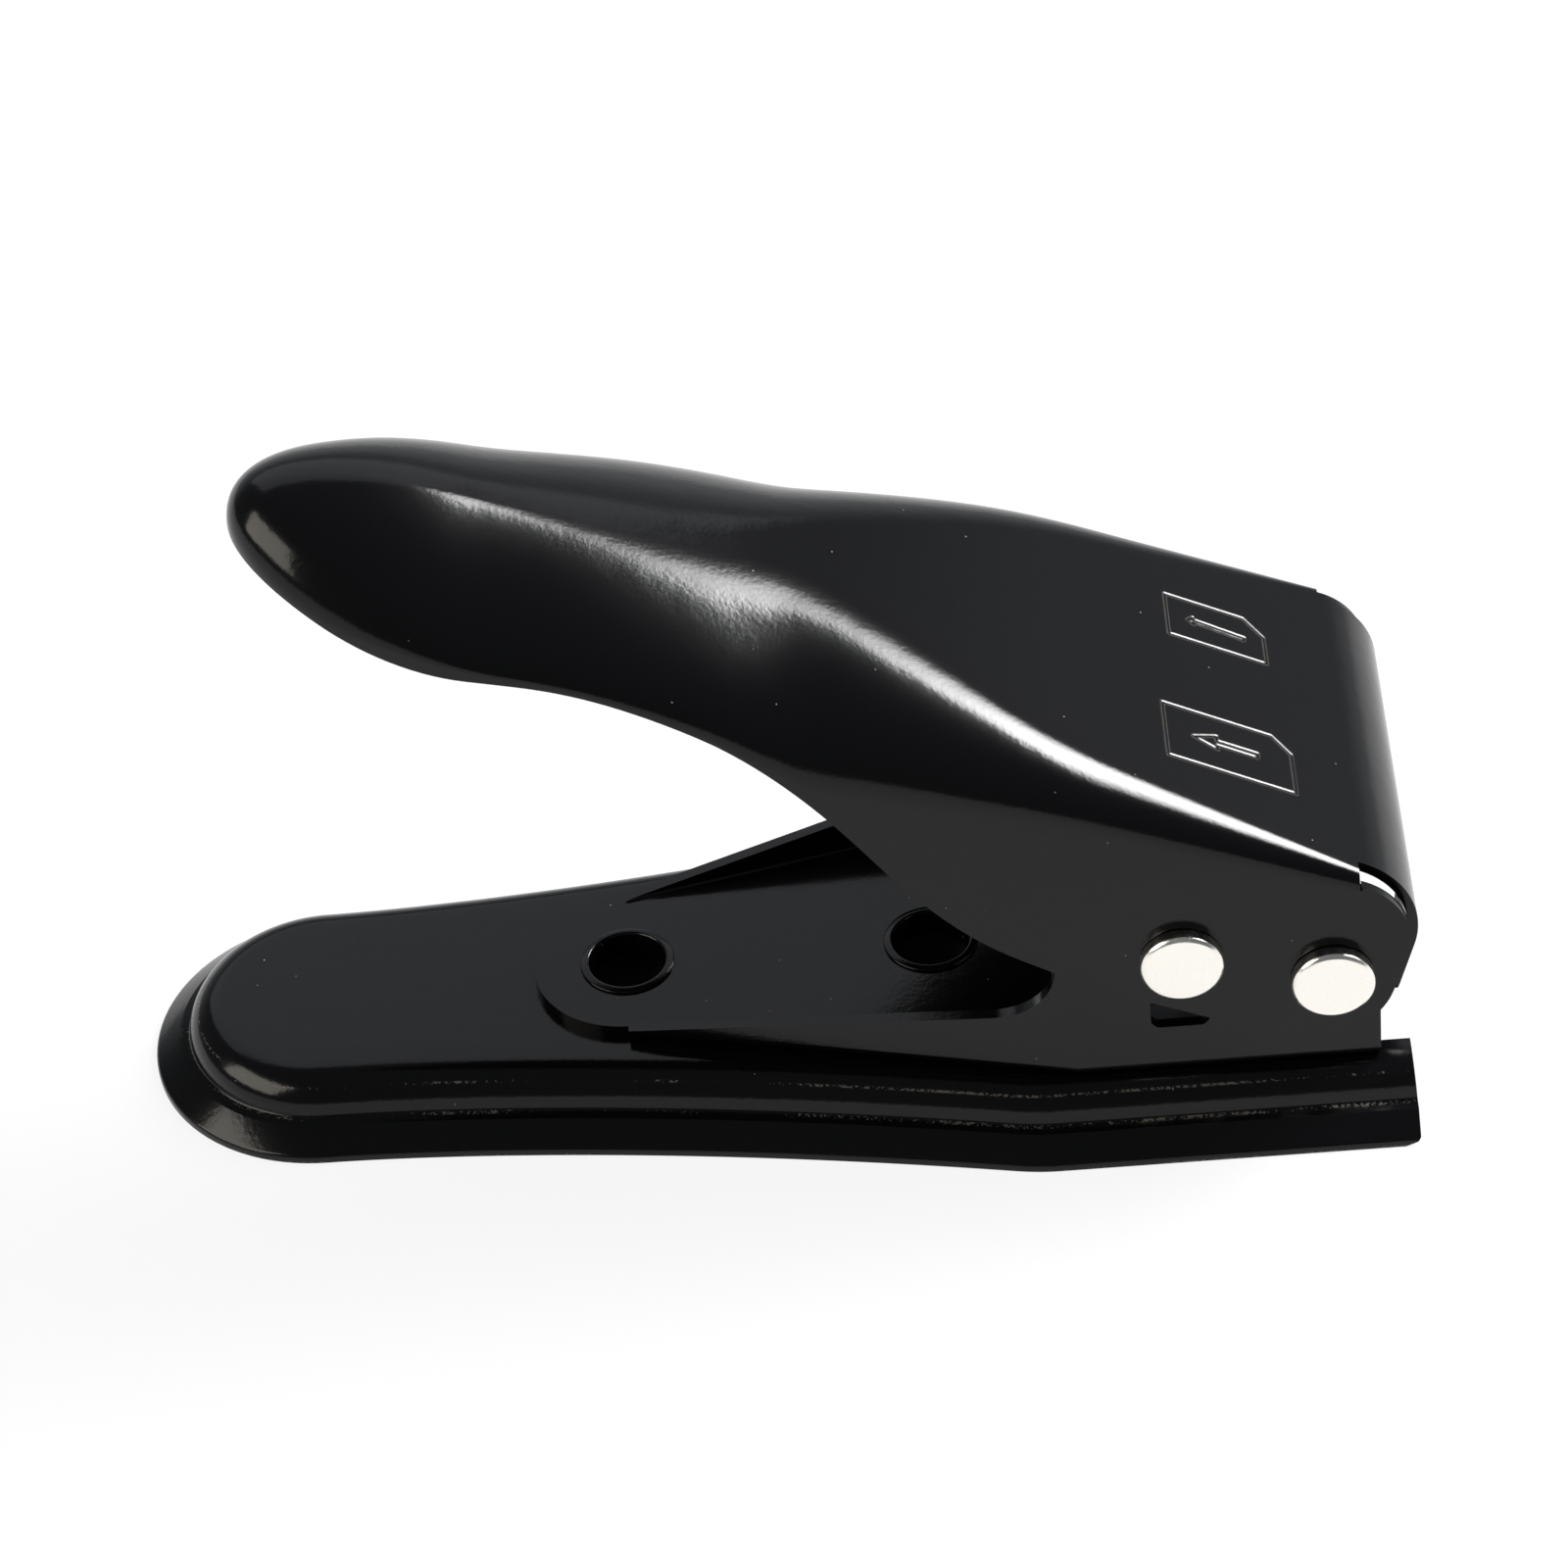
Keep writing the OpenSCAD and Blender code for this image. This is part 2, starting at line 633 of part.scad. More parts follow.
module die_plate() { color(STEEL) die_layer(floor_z, die_t, punch_fit, post_r + fixed_fit); }
module stripper_plate() {
  color(STEEL) die_layer(stripper_z, stripper_t, punch_fit, spring_r + spring_wire / 2 + 0.15);
}

// One of the bars between the die plate and the stripper plate that make the card channels.
module channel_bar(from, to, side, end) {
  color(STEEL)
    difference() {
      translate([from, side, channel_z])
        cube([to - from, end - side, slot_h]);
      layer_holes(channel_z, slot_h, post_r + fixed_fit);
    }
}

module left_rail() { channel_bar(stop_x, die_rear, -die_half_w, -rail_y); }
module centre_rail() { channel_bar(stop_x, die_rear, -centre_rail_w, centre_rail_w); }
module right_rail() { channel_bar(stop_x, die_rear, rail_y, die_half_w); }
module card_stop() { channel_bar(die_front, stop_x, -die_half_w, die_half_w); }

// A screw whose head sits on z, with its shank below it.
module screw(x, y, z, r, length) {
  translate([x, y, z - length])
    cylinder(h = length, r = r);
  translate([x, y, z])
    difference() {
      cylinder(h = screw_head_h, r = 1.6 * r);
      translate([-2 * r, -r / 5, screw_head_h / 2])
        cube([4 * r, 2 * r / 5, screw_head_h]);
    }
}

module die_screws() {
  color(STEEL)
    for (at = die_screw_spots)
      screw(at[0], at[1], stripper_top, die_screw_r, stripper_top - base_h - 0.05);
}

// ---- punches, drawn with the lever raised ----

module punch_carrier() {
  pocket_r = spring_r + spring_wire / 2 + 0.25;
  pocket_z = carrier_z + 5;
  color(STEEL)
    difference() {
      translate([carrier_x - carrier_half_l, 0.4 - wall_in, carrier_z])
        cube([2 * carrier_half_l, 2 * wall_in - 0.8, carrier_h]);
      for (s = [-1, 1])
        pin_bore(carrier_x + s * drive_sweep / 2, drive_z, wall_in, pin_r + 2 * running_fit);
      translate([carrier_x - drive_sweep / 2, -wall_in, drive_z - pin_r - 2 * running_fit])
        cube([drive_sweep, 2 * wall_in, 2 * pin_r + 4 * running_fit]);
      for (at = post_spots) {
        translate([at[0], at[1], carrier_z - CUT])
          cylinder(h = carrier_h + 2 * CUT, r = post_r + running_fit);
        translate([at[0], at[1], carrier_z - CUT])
          cylinder(h = pocket_z - carrier_z + CUT, r = pocket_r);
      }
      for (at = punch_screw_spots)
        translate([at[0], at[1], carrier_z - CUT])
          cylinder(h = carrier_h + 2 * CUT, r = punch_screw_r + fixed_fit);
    }
}

punch_screw_spots = [for (y = [-card_y, card_y], s = [-1, 1]) [carrier_x + s * punch_screw_offset, y]];
screw_grip = 4;                    // depth of a punch's screw in the punch

module punch(size) {
  color(STEEL)
    difference() {
      translate([0, 0, tip_z])
        linear_extrude(carrier_z - tip_z)
          punch_outline(size, 0);
      for (at = punch_screw_spots)
        translate([at[0], at[1], carrier_z - screw_grip - 0.2])
          cylinder(h = screw_grip + CUT, r = punch_screw_r + fixed_fit);
    }
}

module micro_punch() { punch(micro_size); }
module nano_punch() { punch(nano_size); }

module punch_screws() {
  color(STEEL)
    for (at = punch_screw_spots)
      screw(at[0], at[1], carrier_z + carrier_h, punch_screw_r, carrier_h + screw_grip);
}

module guide_post(at) {
  color(STEEL)
    translate([at[0], at[1], floor_z])
      cylinder(h = carrier_z + carrier_h - 0.8 - floor_z, r = post_r);
}

module front_post() { guide_post(post_spots[0]); }
module rear_post() { guide_post(post_spots[1]); }

// A coil of round wire standing on the centre rail, from z up by height.
module return_spring(at) {
  sides = 6;
  steps = spring_turns * 14;
  z0 = stripper_z + spring_wire / 2 + 0.1;
  height = carrier_z + 5 - spring_wire / 2 - 0.1 - z0;
  pitch_a = atan(height / (spring_turns * 2 * PI * spring_r));
  color(NICKEL)
    translate([at[0], at[1], z0])
      loft([for (i = [0:steps])
        let (a = 360 * spring_turns * i / steps,
             out = [cos(a), sin(a), 0],
             up = [sin(a) * sin(pitch_a), -cos(a) * sin(pitch_a), cos(pitch_a)])
        [for (j = [0:sides - 1]) out * spring_r + [0, 0, height * i / steps]
          + spring_wire / 2 * (out * cos(360 * j / sides) + up * sin(360 * j / sides))]]);
}

module front_spring() { return_spring(post_spots[0]); }
module rear_spring() { return_spring(post_spots[1]); }

base();
bracket();
front_eyelet();
rear_eyelet();
lever();
pivot_pin();
drive_pin();
pivot_washers();
die_plate();
left_rail();
centre_rail();
right_rail();
card_stop();
stripper_plate();
die_screws();
punch_carrier();
micro_punch();
nano_punch();
punch_screws();
front_post();
rear_post();
front_spring();
rear_spring();
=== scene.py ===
"""Dual SIM card cutter: pressed-steel pieces, pins, springs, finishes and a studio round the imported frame.

Lengths in the shape functions are millimetres in the frame's axes: +X to the card mouth, -X to the thumb end.
"""

import json
import math

import bmesh
import bpy
import numpy as np
from bpy.props import FloatProperty, FloatVectorProperty, IntProperty, PointerProperty, StringProperty
from mathutils import Matrix, Vector


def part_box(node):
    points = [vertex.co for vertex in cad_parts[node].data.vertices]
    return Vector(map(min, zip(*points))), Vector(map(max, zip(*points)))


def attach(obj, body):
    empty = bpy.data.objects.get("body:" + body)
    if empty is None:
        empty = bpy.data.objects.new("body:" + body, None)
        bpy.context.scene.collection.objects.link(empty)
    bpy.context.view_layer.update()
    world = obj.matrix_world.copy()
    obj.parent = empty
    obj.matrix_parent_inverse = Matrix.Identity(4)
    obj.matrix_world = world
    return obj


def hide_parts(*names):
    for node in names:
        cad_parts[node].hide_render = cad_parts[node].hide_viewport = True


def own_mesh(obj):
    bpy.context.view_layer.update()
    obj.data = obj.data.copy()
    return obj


bl_info = {
    "name": "Dual SIM card cutter",
    "version": (1, 0, 0),
    "blender": (4, 5, 0),
    "location": "View3D > Sidebar > Card cutter",
    "description": "Pressed-steel pieces, pins, springs and finishes of a hand-lever card cutter",
    "category": "Object",
}

MM = 0.001
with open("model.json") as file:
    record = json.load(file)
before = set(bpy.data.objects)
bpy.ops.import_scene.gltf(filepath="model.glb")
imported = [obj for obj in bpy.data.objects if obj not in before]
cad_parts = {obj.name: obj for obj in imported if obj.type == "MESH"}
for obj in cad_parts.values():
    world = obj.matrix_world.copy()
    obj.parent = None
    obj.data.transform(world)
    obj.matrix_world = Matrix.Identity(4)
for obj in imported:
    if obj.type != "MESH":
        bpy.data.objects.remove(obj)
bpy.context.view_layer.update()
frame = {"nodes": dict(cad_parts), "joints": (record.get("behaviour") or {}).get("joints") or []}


def node_box(name):
    """Lowest and highest corner of a CAD node in millimetres."""
    low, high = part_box(name)
    return np.array(low) / MM, np.array(high) / MM


BASE_LOW, BASE_HIGH = node_box("base")
PIVOT = next(np.array(j["pos_m"]) / MM for j in frame["joints"] if j["name"] == "lever_hinge")
EYELETS = [sum(node_box(name)) / 2 for name in ("front_eyelet", "rear_eyelet")]


def length(name, description, value, low=0.0):
    """A length property in metres from a value in millimetres."""
    return FloatProperty(name=name, description=description, default=value * MM, min=low,
                         unit="LENGTH", precision=5)


class LeverSizes(bpy.types.PropertyGroup):
    sheet: length("Sheet", "Thickness of the lever's sheet", 1.0)
    reach: length("Reach", "Distance from the pivot pin to the thumb end's tip", 101.7)
    nose: length("Nose", "Length over which the thumb end rounds off", 21.8)
    half_width: length("Half width", "Half width over the flat ears", 22.2)
    rear: length("Shell end", "Distance behind the pivot pin where the shell ends and the roll starts", 2.8)
    roll: length("Roll radius", "Outside radius of the rolled rear end", 9.4)
    roll_half: length("Roll half width", "Half width of the rolled strip", 19.9)
    tail: length("Tail", "Length of the straight tail under the roll", 6.7)
    tail_cut: length("Tail opening", "Half width of the opening in the tail", 13.5)
    groove: length("Groove depth", "Depth of the engraved card outlines", 0.055)
    groove_width: length("Groove width", "Width of the engraved lines", 0.55)


class BaseSizes(bpy.types.PropertyGroup):
    sheet: length("Sheet", "Thickness of the base's sheet", 1.0)
    nose: length("Nose radius", "Radius of the round front end", 17.7)
    kink: length("Kink", "Where the side stops widening and runs parallel", 25.3)
    lip: length("Lip", "Height of the upright lip", 0.8)
    ledge: length("Ledge", "Height of the ledge", 2.9)
    flare: length("Flare", "Plan width of the sloping skirt", 2.6)
    ledge_width: length("Ledge width", "Width of the ledge", 1.1)
    lean: length("Rear lean", "How far the rear edge leans in towards the top", 0.4)
    rear_corner: length("Rear corner", "Radius of the sheet's corners at the rear", 1.7)


class PinSizes(bpy.types.PropertyGroup):
    shaft: length("Shaft radius", "Radius of both pins' shafts", 2.4)
    head: length("Head radius", "Radius of the flat heads", 4.05)
    head_height: length("Head height", "Height of the flat heads", 1.6)
    wire: length("Wire", "Diameter of the return springs' wire", 0.5)
    coil: length("Coil radius", "Mean radius of the return springs", 1.5)
    turns: IntProperty(name="Turns", description="Turns of each return spring", default=9, min=3)


class Finishes(bpy.types.PropertyGroup):
    enamel: StringProperty(name="Enamel", description="sRGB colour of the black enamel", default="#040405")
    # this colour is also that of the painted highlight on the engraved lines and of the base's painted glints
    worn_and_highlight: StringProperty(name="Worn enamel", description="sRGB colour of rubbed enamel", default="#6C6863")
    nickel: StringProperty(name="Nickel", description="sRGB colour of the nickel plate", default="#F6F3EC")
    steel: StringProperty(name="Ground steel", description="sRGB colour of the ground steel",
                          default="#B4B5B8")
    # the carrier's darker grey is painted shade, for the dark slot that it is seen through
    blackened: StringProperty(name="Blackened steel", description="sRGB colour of the blackened carrier",
                              default="#2A2A2C")


class StageSettings(bpy.types.PropertyGroup):
    floor: StringProperty(name="Floor", description="sRGB colour of the floor's own surface",
                          default="#484848")
    glow: FloatProperty(name="Glow", description="Light that the floor gives, so that shadows stay soft",
                        default=0.88)
    room: FloatProperty(name="Room", description="Light of the dim room round the stage", default=0.17)
    backdrop: FloatProperty(name="Backdrop", description="Light of the pale backdrop behind the stage",
                            default=0.45)
    lens: FloatProperty(name="Lens", description="Focal length of the camera in millimetres", default=141.83)
    target: FloatVectorProperty(name="Target", description="Point that the camera looks at",
                                subtype="TRANSLATION", default=(0.00316, 0.0, 0.03001))
    azimuth: FloatProperty(name="Azimuth", description="Camera's turn about the vertical", subtype="ANGLE",
                           default=math.radians(1.71))
    elevation: FloatProperty(name="Elevation", description="Camera's height above the floor", subtype="ANGLE",
                             default=math.radians(41.16))
    roll: FloatProperty(name="Roll", description="Camera's roll", subtype="ANGLE", default=math.radians(-5.33))
    distance: FloatProperty(name="Distance", description="Camera's distance from the target", unit="LENGTH",
                            default=0.60691)


class CutterSettings(bpy.types.PropertyGroup):
    lever: PointerProperty(type=LeverSizes)
    base: PointerProperty(type=BaseSizes)
    pins: PointerProperty(type=PinSizes)
    finishes: PointerProperty(type=Finishes)
    stage: PointerProperty(type=StageSettings)


def settings():
    """The scene's sizes, colours and stage values."""
    return bpy.context.scene.card_cutter


# ---- curves and surfaces ----


def run(table, x):
    """Height at x of straight lines through the corners [x, height, w], each eased by a parabola from -w to
    +w: the line's height plus, at each corner, the change of slope times (w - |u|)^2 / 4w."""
    t = np.array(table, float)
    x = np.asarray(x, float)
    out = np.interp(x, t[:, 0], t[:, 1])
    slope = np.diff(t[:, 1]) / np.diff(t[:, 0])
    for (cx, _, w), turn in zip(t[1:-1], np.diff(slope)):
        if w > 0:
            out = out + turn * np.clip(w - np.abs(x - cx), 0, None) ** 2 / (4 * w)
    return out


def eased_min(a, b, k):
    """The lower of a and b with no fold where they cross: min(a, b) - k ln(1 + e^(-|a - b| / k))."""
    return np.minimum(a, b) - k * np.log1p(np.exp(-np.abs(a - b) / k))


def smooth(t):
    """0 up to t = 0, 1 from t = 1 on, and 3 t^2 - 2 t^3 between."""
    t = np.clip(t, 0, 1)
    return t * t * (3 - 2 * t)


def arc(c, r, a, b, n):
    """n + 1 points of the circle c + r (cos t, sin t) with t from a to b degrees."""
    t = np.radians(np.linspace(a, b, n + 1))
    return np.stack([c[0] + r * np.cos(t), c[1] + r * np.sin(t)], -1)


def rounded(corners, n=5):
    """Polyline through corners [x, y, r]: each inner corner becomes n + 1 points of the arc of radius r that
    touches both of its lines."""
    c = np.array(corners, float)
    out = [c[:1, :2]]
    for before, here, after in zip(c[:-2, :2], c[1:-1], c[2:, :2]):
        p, r = here[:2], here[2]
        u, v = before - p, after - p
        u, v = u / np.linalg.norm(u), v / np.linalg.norm(v)
        half = math.acos(np.clip(u @ v, -1, 1)) / 2
        if r <= 0 or abs(half - math.pi / 2) < 1e-4:
            out.append(p[None])
            continue
        mid = (u + v) / np.linalg.norm(u + v)
        centre = p + mid * r / math.sin(half)
        a, b = p + u * r / math.tan(half) - centre, p + v * r / math.tan(half) - centre
        turn = math.atan2(a[0] * b[1] - a[1] * b[0], a @ b)
        t = np.linspace(0, turn, n + 1)[:, None]
        side = np.array([-a[1], a[0]])
        out.append(centre + a * np.cos(t) + side * np.sin(t))
    out.append(c[-1:, :2])
    return np.concatenate(out)


class Surface:
    """Points and faces gathered from grids and flat outlines; points that meet are merged when it is made."""

    MEET = 0.002                # points closer than this are one, in millimetres

    def __init__(self):
        self.points, self.faces, self.count = [], [], 0

    def grid(self, p, keep=None, flip=False, closed=False):
        """Quads between the rows and columns of p (rows, columns, 3), outward along row x column."""
        rows, cols = p.shape[:2]
        i = np.arange(rows * cols).reshape(rows, cols) + self.count
        if closed:
            i = np.concatenate([i, i[:, :1]], 1)
        quads = np.stack([i[:-1, :-1], i[1:, :-1], i[1:, 1:], i[:-1, 1:]], -1)
        if flip:
            quads = quads[..., ::-1]
        quads = quads.reshape(-1, 4) if keep is None else quads[keep]
        self._add(p.reshape(-1, 3), quads.tolist())

    def outline(self, p, flip=False):
        """One flat face round the points p."""
        ring = list(range(self.count, self.count + len(p)))
        self._add(np.asarray(p, float), [ring[::-1] if flip else ring])

    def _add(self, points, faces):
        self.points.append(points)
        self.faces += faces
        self.count += len(points)

    def make(self, name):
        """The mesh object of what was gathered, its places turned from millimetres to metres."""
        mesh = bpy.data.meshes.new(name)
        mesh.from_pydata((np.concatenate(self.points) * MM).tolist(), [], self.faces)
        bm = bmesh.new()
        bm.from_mesh(mesh)
        bmesh.ops.remove_doubles(bm, verts=bm.verts, dist=self.MEET * MM)
        bmesh.ops.dissolve_degenerate(bm, edges=bm.edges, dist=1e-8)
        bm.to_mesh(mesh)
        bm.free()
        piece = bpy.data.objects.new(name, mesh)
        bpy.context.scene.collection.objects.link(piece)
        return piece


def dress(piece, body, slot, coat, *nodes):
    """Smooth shading, finish, body and the CAD nodes that the piece stands for."""
    piece.data.shade_smooth()
    piece.data.materials.clear()
    piece.data.materials.append(coat)
    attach(piece, body)
    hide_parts(*nodes)


def ease_edges(piece, width, segments, angle):
    """Rounds the edges that turn by more than the angle in degrees; the width is in millimetres."""
    bevel = piece.modifiers.new("eased_edge", "BEVEL")
    bevel.width = width * MM
    bevel.segments = segments
    bevel.limit_method = "ANGLE"
    bevel.angle_limit = math.radians(angle)
    return bevel


def sheet_wall(piece, thickness, edge, segments):
    """Gives a surface its sheet thickness inwards and eases the cut edges."""
    solid = piece.modifiers.new("sheet", "SOLIDIFY")
    solid.thickness = thickness
    solid.offset = -1.0
    solid.use_even_offset = True
    solid.use_quality_normals = True
    ease_edges(piece, edge, segments, 55).harden_normals = True


def turned(profile, centre, axis, steps):
    """Surface of revolution: profile (radius, height) turned about the axis through centre. Its points on the
    axis meet when it is made."""
    t = np.linspace(0, 2 * math.pi, steps, endpoint=False)
    w = np.array(axis, float) / np.linalg.norm(axis)
    u = np.cross(w, [1.0, 0, 0] if abs(w[0]) < 0.5 else [0, 1.0, 0])
    u /= np.linalg.norm(u)
    v = np.cross(w, u)
    ring = np.cos(t)[:, None] * u + np.sin(t)[:, None] * v
    p = np.asarray(profile, float)
    return np.asarray(centre) + p[:, None, :1] * ring[None] + p[:, None, 1:] * w


# ---- lever ----


# Corners of the engraved lines in millimetres: (distance from the pivot pin along the sloping top, y).
MICRO = [(-16.3, -12.5), (-2.6, -12.5), (-2.6, -6.8), (-4.6, -4.8), (-16.3, -4.8), (-16.3, -12.5)]
MICRO_ARROW = [(-13.3, -8.55), (-10.75, -9.5), (-10.75, -8.85), (-6.4, -8.85), (-6.4, -8.2), (-10.75, -8.2),
               (-10.75, -7.5), (-13.3, -8.55)]
NANO = [(-14.6, 6.3), (-3.9, 6.3), (-3.9, 10.3), (-6.0, 12.4), (-14.6, 12.4), (-14.6, 6.3)]
NANO_ARROW = [(-12.3, 9.4), (-11.7, 8.9), (-11.7, 9.25), (-6.2, 8.9), (-6.1, 9.35), (-11.7, 9.65),
              (-11.7, 10.0), (-12.3, 9.4)]
FIGURES = (MICRO, NANO, MICRO_ARROW, NANO_ARROW)
FIGURE_FRONT = -17.0            # the figures lie behind this x
FIGURE_STEP = 0.1               # spacing of rows and columns over the figures

SIDE_COLUMNS = 11
SHOULDER_COLUMNS = 19
TOP_COLUMN = SIDE_COLUMNS + SHOULDER_COLUMNS - 1    # the flat top's first column
SEAM = 6                        # side column where an ear's flat face starts
EAR_FRONT = -19.0               # x where the ears' flat faces start
MIDDLE = 13.4                   # half width of the top's middle, which keeps its width where there is room
ROLL_END = -15.8                # angle in degrees where the roll ends and the straight tail starts


def segment_distance(s, y, a, b):
    """Distance of points (s, y) from the segment a-b: the length of what is left after the nearest point on it
    is taken off."""
    d = np.array(b, float) - a
    t = np.clip(((s - a[0]) * d[0] + (y - a[1]) * d[1]) / (d @ d), 0, 1)
    return np.hypot(s - a[0] - t * d[0], y - a[1] - t * d[1])


def groove_depth(x, y, slope, width, depth):
    """Depth of the engraved figures at (x, y) on the top: full within a third of the half width from a line,
    easing to none at the half width."""
    along = x / math.cos(slope)
    away = np.min([segment_distance(along, y, a, b)
                   for figure in FIGURES for a, b in zip(figure[:-1], figure[1:])], axis=0)
    return depth * smooth((width / 2 - away) / (width / 3)) * (x > FIGURE_FRONT)


class LeverShape:
    """Lines of the lever in millimetres from the pivot pin: rim, crown, half width and shoulder width along
    x, each a table for run(). The crest is the exponent of the near shoulder's curve, and near is its width as
    a multiple of the far one's."""

    def __init__(self, sizes):
        self.tip = tip = -sizes.reach / MM
        self.nose = sizes.nose / MM
        self.rear = sizes.rear / MM
        self.half = half = sizes.half_width / MM
        self.strip_half = sizes.roll_half / MM
        rise = 60.3             # height of the thumb end's crown
        slope_front, slope_rear = [-23, 25.9], [5, 11.4]
        self.slope = math.atan2(slope_front[1] - slope_rear[1], slope_rear[0] - slope_front[0])
        self.rim = [[tip, rise - 11.8, 0], [tip + 15, rise - 20.3, 7], [-66, rise - 23, 9],
                    [-51, 28.4, 7], [-37, 9.2, 6], [-25, 1.8, 7], [5, -12.9, 0]]
        self.crown = [[tip, rise, 0], [tip + 25, rise - 12.5, 22], [-47, 38.8, 22], [*slope_front, 8],
                      [*slope_rear, 0]]
        self.side = [[tip, half - 9.2, 0], [-77, half - 6.9, 12], [-55, half - 2.8, 12], [-29, half, 8],
                     [5, half, 0]]
        self.shoulder = [[tip, 35, 0], [-25, 6.2, 6], [5, 1.1, 0]]
        self.crest = [[tip, 1.0, 0], [-80, 1.5, 8], [-62, 1.22, 8], [-45, 1.06, 8], [-22, 1.1, 8], [5, 1.0, 0]]
        self.near = [[tip, 1.0, 0], [-72, 1.25, 8], [-40, 1.25, 8], [-22, 1.0, 6], [5, 1.0, 0]]

    def section(self, x):
        """Half width, rim and crown height, shoulder width and shoulder depth at x; the nose is a quarter
        ellipse. The depth is 0.72 of the width plus 0.7, and never above the 0.94 of the height that it has at
        the tip."""
        s = np.clip((self.tip + self.nose - x) / self.nose, 0, 1)
        f = np.sqrt(1 - s * s)
        rim = run(self.rim, x)
        w = run(self.side, x) * f
        top = rim + (run(self.crown, x) - rim) * f
        a = self.shoulder_width(w, run(self.shoulder, x))
        full = 0.94 * (top - rim)
        blend = smooth(s / 0.7)
        wanted = (0.72 * a + 0.7) * (1 - blend) + full * blend
        eased = eased_min(full, wanted, np.minimum(1.3, 0.12 * full) + 1e-9)
        b = eased * (1 - blend) + np.minimum(full, wanted) * blend
        return w, rim, top, a, b

    @staticmethod
    def shoulder_width(w, wanted):
        """The wanted width where the half width w has room for it."""
        return eased_min(0.97 * w, wanted, np.minimum(1.5, 0.06 * w) + 1e-9)


def top_columns(strip_half):
    """Offsets of the flat top's columns at the roll, close together over the two figures."""
    return np.concatenate([
        np.linspace(-strip_half, -13.3, 6)[:-1],
        np.arange(-13.3, -4.2, FIGURE_STEP),
        np.linspace(-4.2, 5.7, 9)[:-1],
        np.arange(5.7, 13.2, FIGURE_STEP),
        np.linspace(13.25, strip_half, 6)])


def lever_rows(shape):
    """Stations along the lever from the tip: the nose by equal angles, then equal steps, close together over
    the figures."""
    angle = np.radians(np.linspace(0, 90, 34))
    return np.concatenate([
        shape.tip + shape.nose * (1 - np.cos(angle)),
        np.linspace(shape.tip + shape.nose, EAR_FRONT, 52)[1:],
        np.linspace(EAR_FRONT, -15.0, 5)[1:-1],
        np.arange(-15.0, -1.7, FIGURE_STEP),
        np.linspace(-1.6, shape.rear, 5)])


def lever_grid(shape, sizes):
    """Points of the lever's sections, and the row where the ears start. A section at x runs up the side from
    the rim, round an elliptical shoulder (y = w - a + a cos^p t, z = top - b + b sin^p t), across the flat top
    and down the other side. Behind the ears' front the seam closes up on the shoulder."""
    x = lever_rows(shape)[:, None]
    w, rim, top, a, b = shape.section(x)
    ear_row = int(np.argmin(np.abs(x[:, 0] - EAR_FRONT)))

    # the side: q is 0 at the rim and 1 where the shoulder starts
    q = np.linspace(0, 1, SIDE_COLUMNS)
    above_seam = 1 - q[SEAM]
    foot = top - b
    band = np.interp(x, [EAR_FRONT, shape.rear], [(foot - rim)[ear_row, 0] * above_seam, 0.8])
    side_z = np.where(x > EAR_FRONT + 1e-6, foot - band * (1 - q) / above_seam, rim + (foot - rim) * q)
    side_y = np.broadcast_to(-w, side_z.shape)

    # the two shoulders, each without its first point, which the side has
    t = np.radians(np.linspace(0, 90, SHOULDER_COLUMNS))[1:]
    crest = run(shape.crest, x)
    soft = 1 + 0.15 * (crest - 1)
    near = shape.shoulder_width(w, run(shape.shoulder, x) * run(shape.near, x))
    near_y = -(w - near + near * np.cos(t) ** crest)
    near_z = foot + b * np.sin(t) ** crest
    far_y = w - a + a * np.cos(t) ** soft
    far_z = foot + b * np.sin(t) ** soft

    # the flat top: its middle keeps its width where there is room, and the rest spreads to the shoulders
    columns = top_columns(shape.strip_half)
    offset = np.abs(columns)
    room = w - np.where(columns < 0, near, a)
    inner = np.minimum(MIDDLE, 0.76 * room)
    outer = np.minimum(shape.strip_half, room)
    spread = np.clip((offset - MIDDLE) / (shape.strip_half - MIDDLE), 0, 1)
    flat_y = np.sign(columns) * (np.minimum(offset, MIDDLE) / MIDDLE * inner + spread * (outer - inner))
    flat_z = top - groove_depth(x, flat_y, shape.slope, sizes.groove_width / MM, sizes.groove / MM)

    y = np.concatenate([side_y, near_y, flat_y, far_y[:, ::-1], -side_y[:, ::-1]], 1)
    z = np.concatenate([side_z, near_z, flat_z, far_z[:, ::-1], side_z[:, ::-1]], 1)
    return np.stack([np.broadcast_to(x, y.shape), y, z], -1), ear_row


def tangent_angle(centre, r, next_centre, next_r):
    """Angle in degrees at which the line on the right of two circles touches both: the direction from centre
    to centre turned back by acos((r - next r) / distance)."""
    step = next_centre - centre
    lean = math.acos((r - next_r) / np.hypot(*step))
    return math.degrees(math.atan2(step[1], step[0])) - math.degrees(lean)


def ear_outline(shape, p, ear_row):
    """Outline of the near ear, one flat face: down its front line from the seam to the rim, straight on to an
    arc under the pins and a second arc behind them, up to the shell's rear end and back along the seam."""
    low, low_r = np.array([-1.8, 0.0]), 8.1
    high, high_r = np.array([-0.1, 4.2]), 7.7
    high_end = 67
    step = 0.25                                             # from the second arc up to the shell's rear end
    touch = tangent_angle(p[ear_row, 0, [0, 2]], 0, low, low_r)
    change = tangent_angle(low, low_r, high, high_r)
    rear_z = p[-1, SIDE_COLUMNS - 1, 2]
    rim = np.concatenate([arc(low, low_r, touch, change, 22), arc(high, high_r, change, high_end, 22),
                          [[shape.rear + step, rear_z + step]]])
    return np.concatenate([
        p[ear_row, :SEAM + 1][::-1],
        np.insert(rim, 1, -shape.half, axis=1),
        p[-1, SEAM:SIDE_COLUMNS][::-1],
        p[ear_row + 1:-1, SEAM][::-1]])


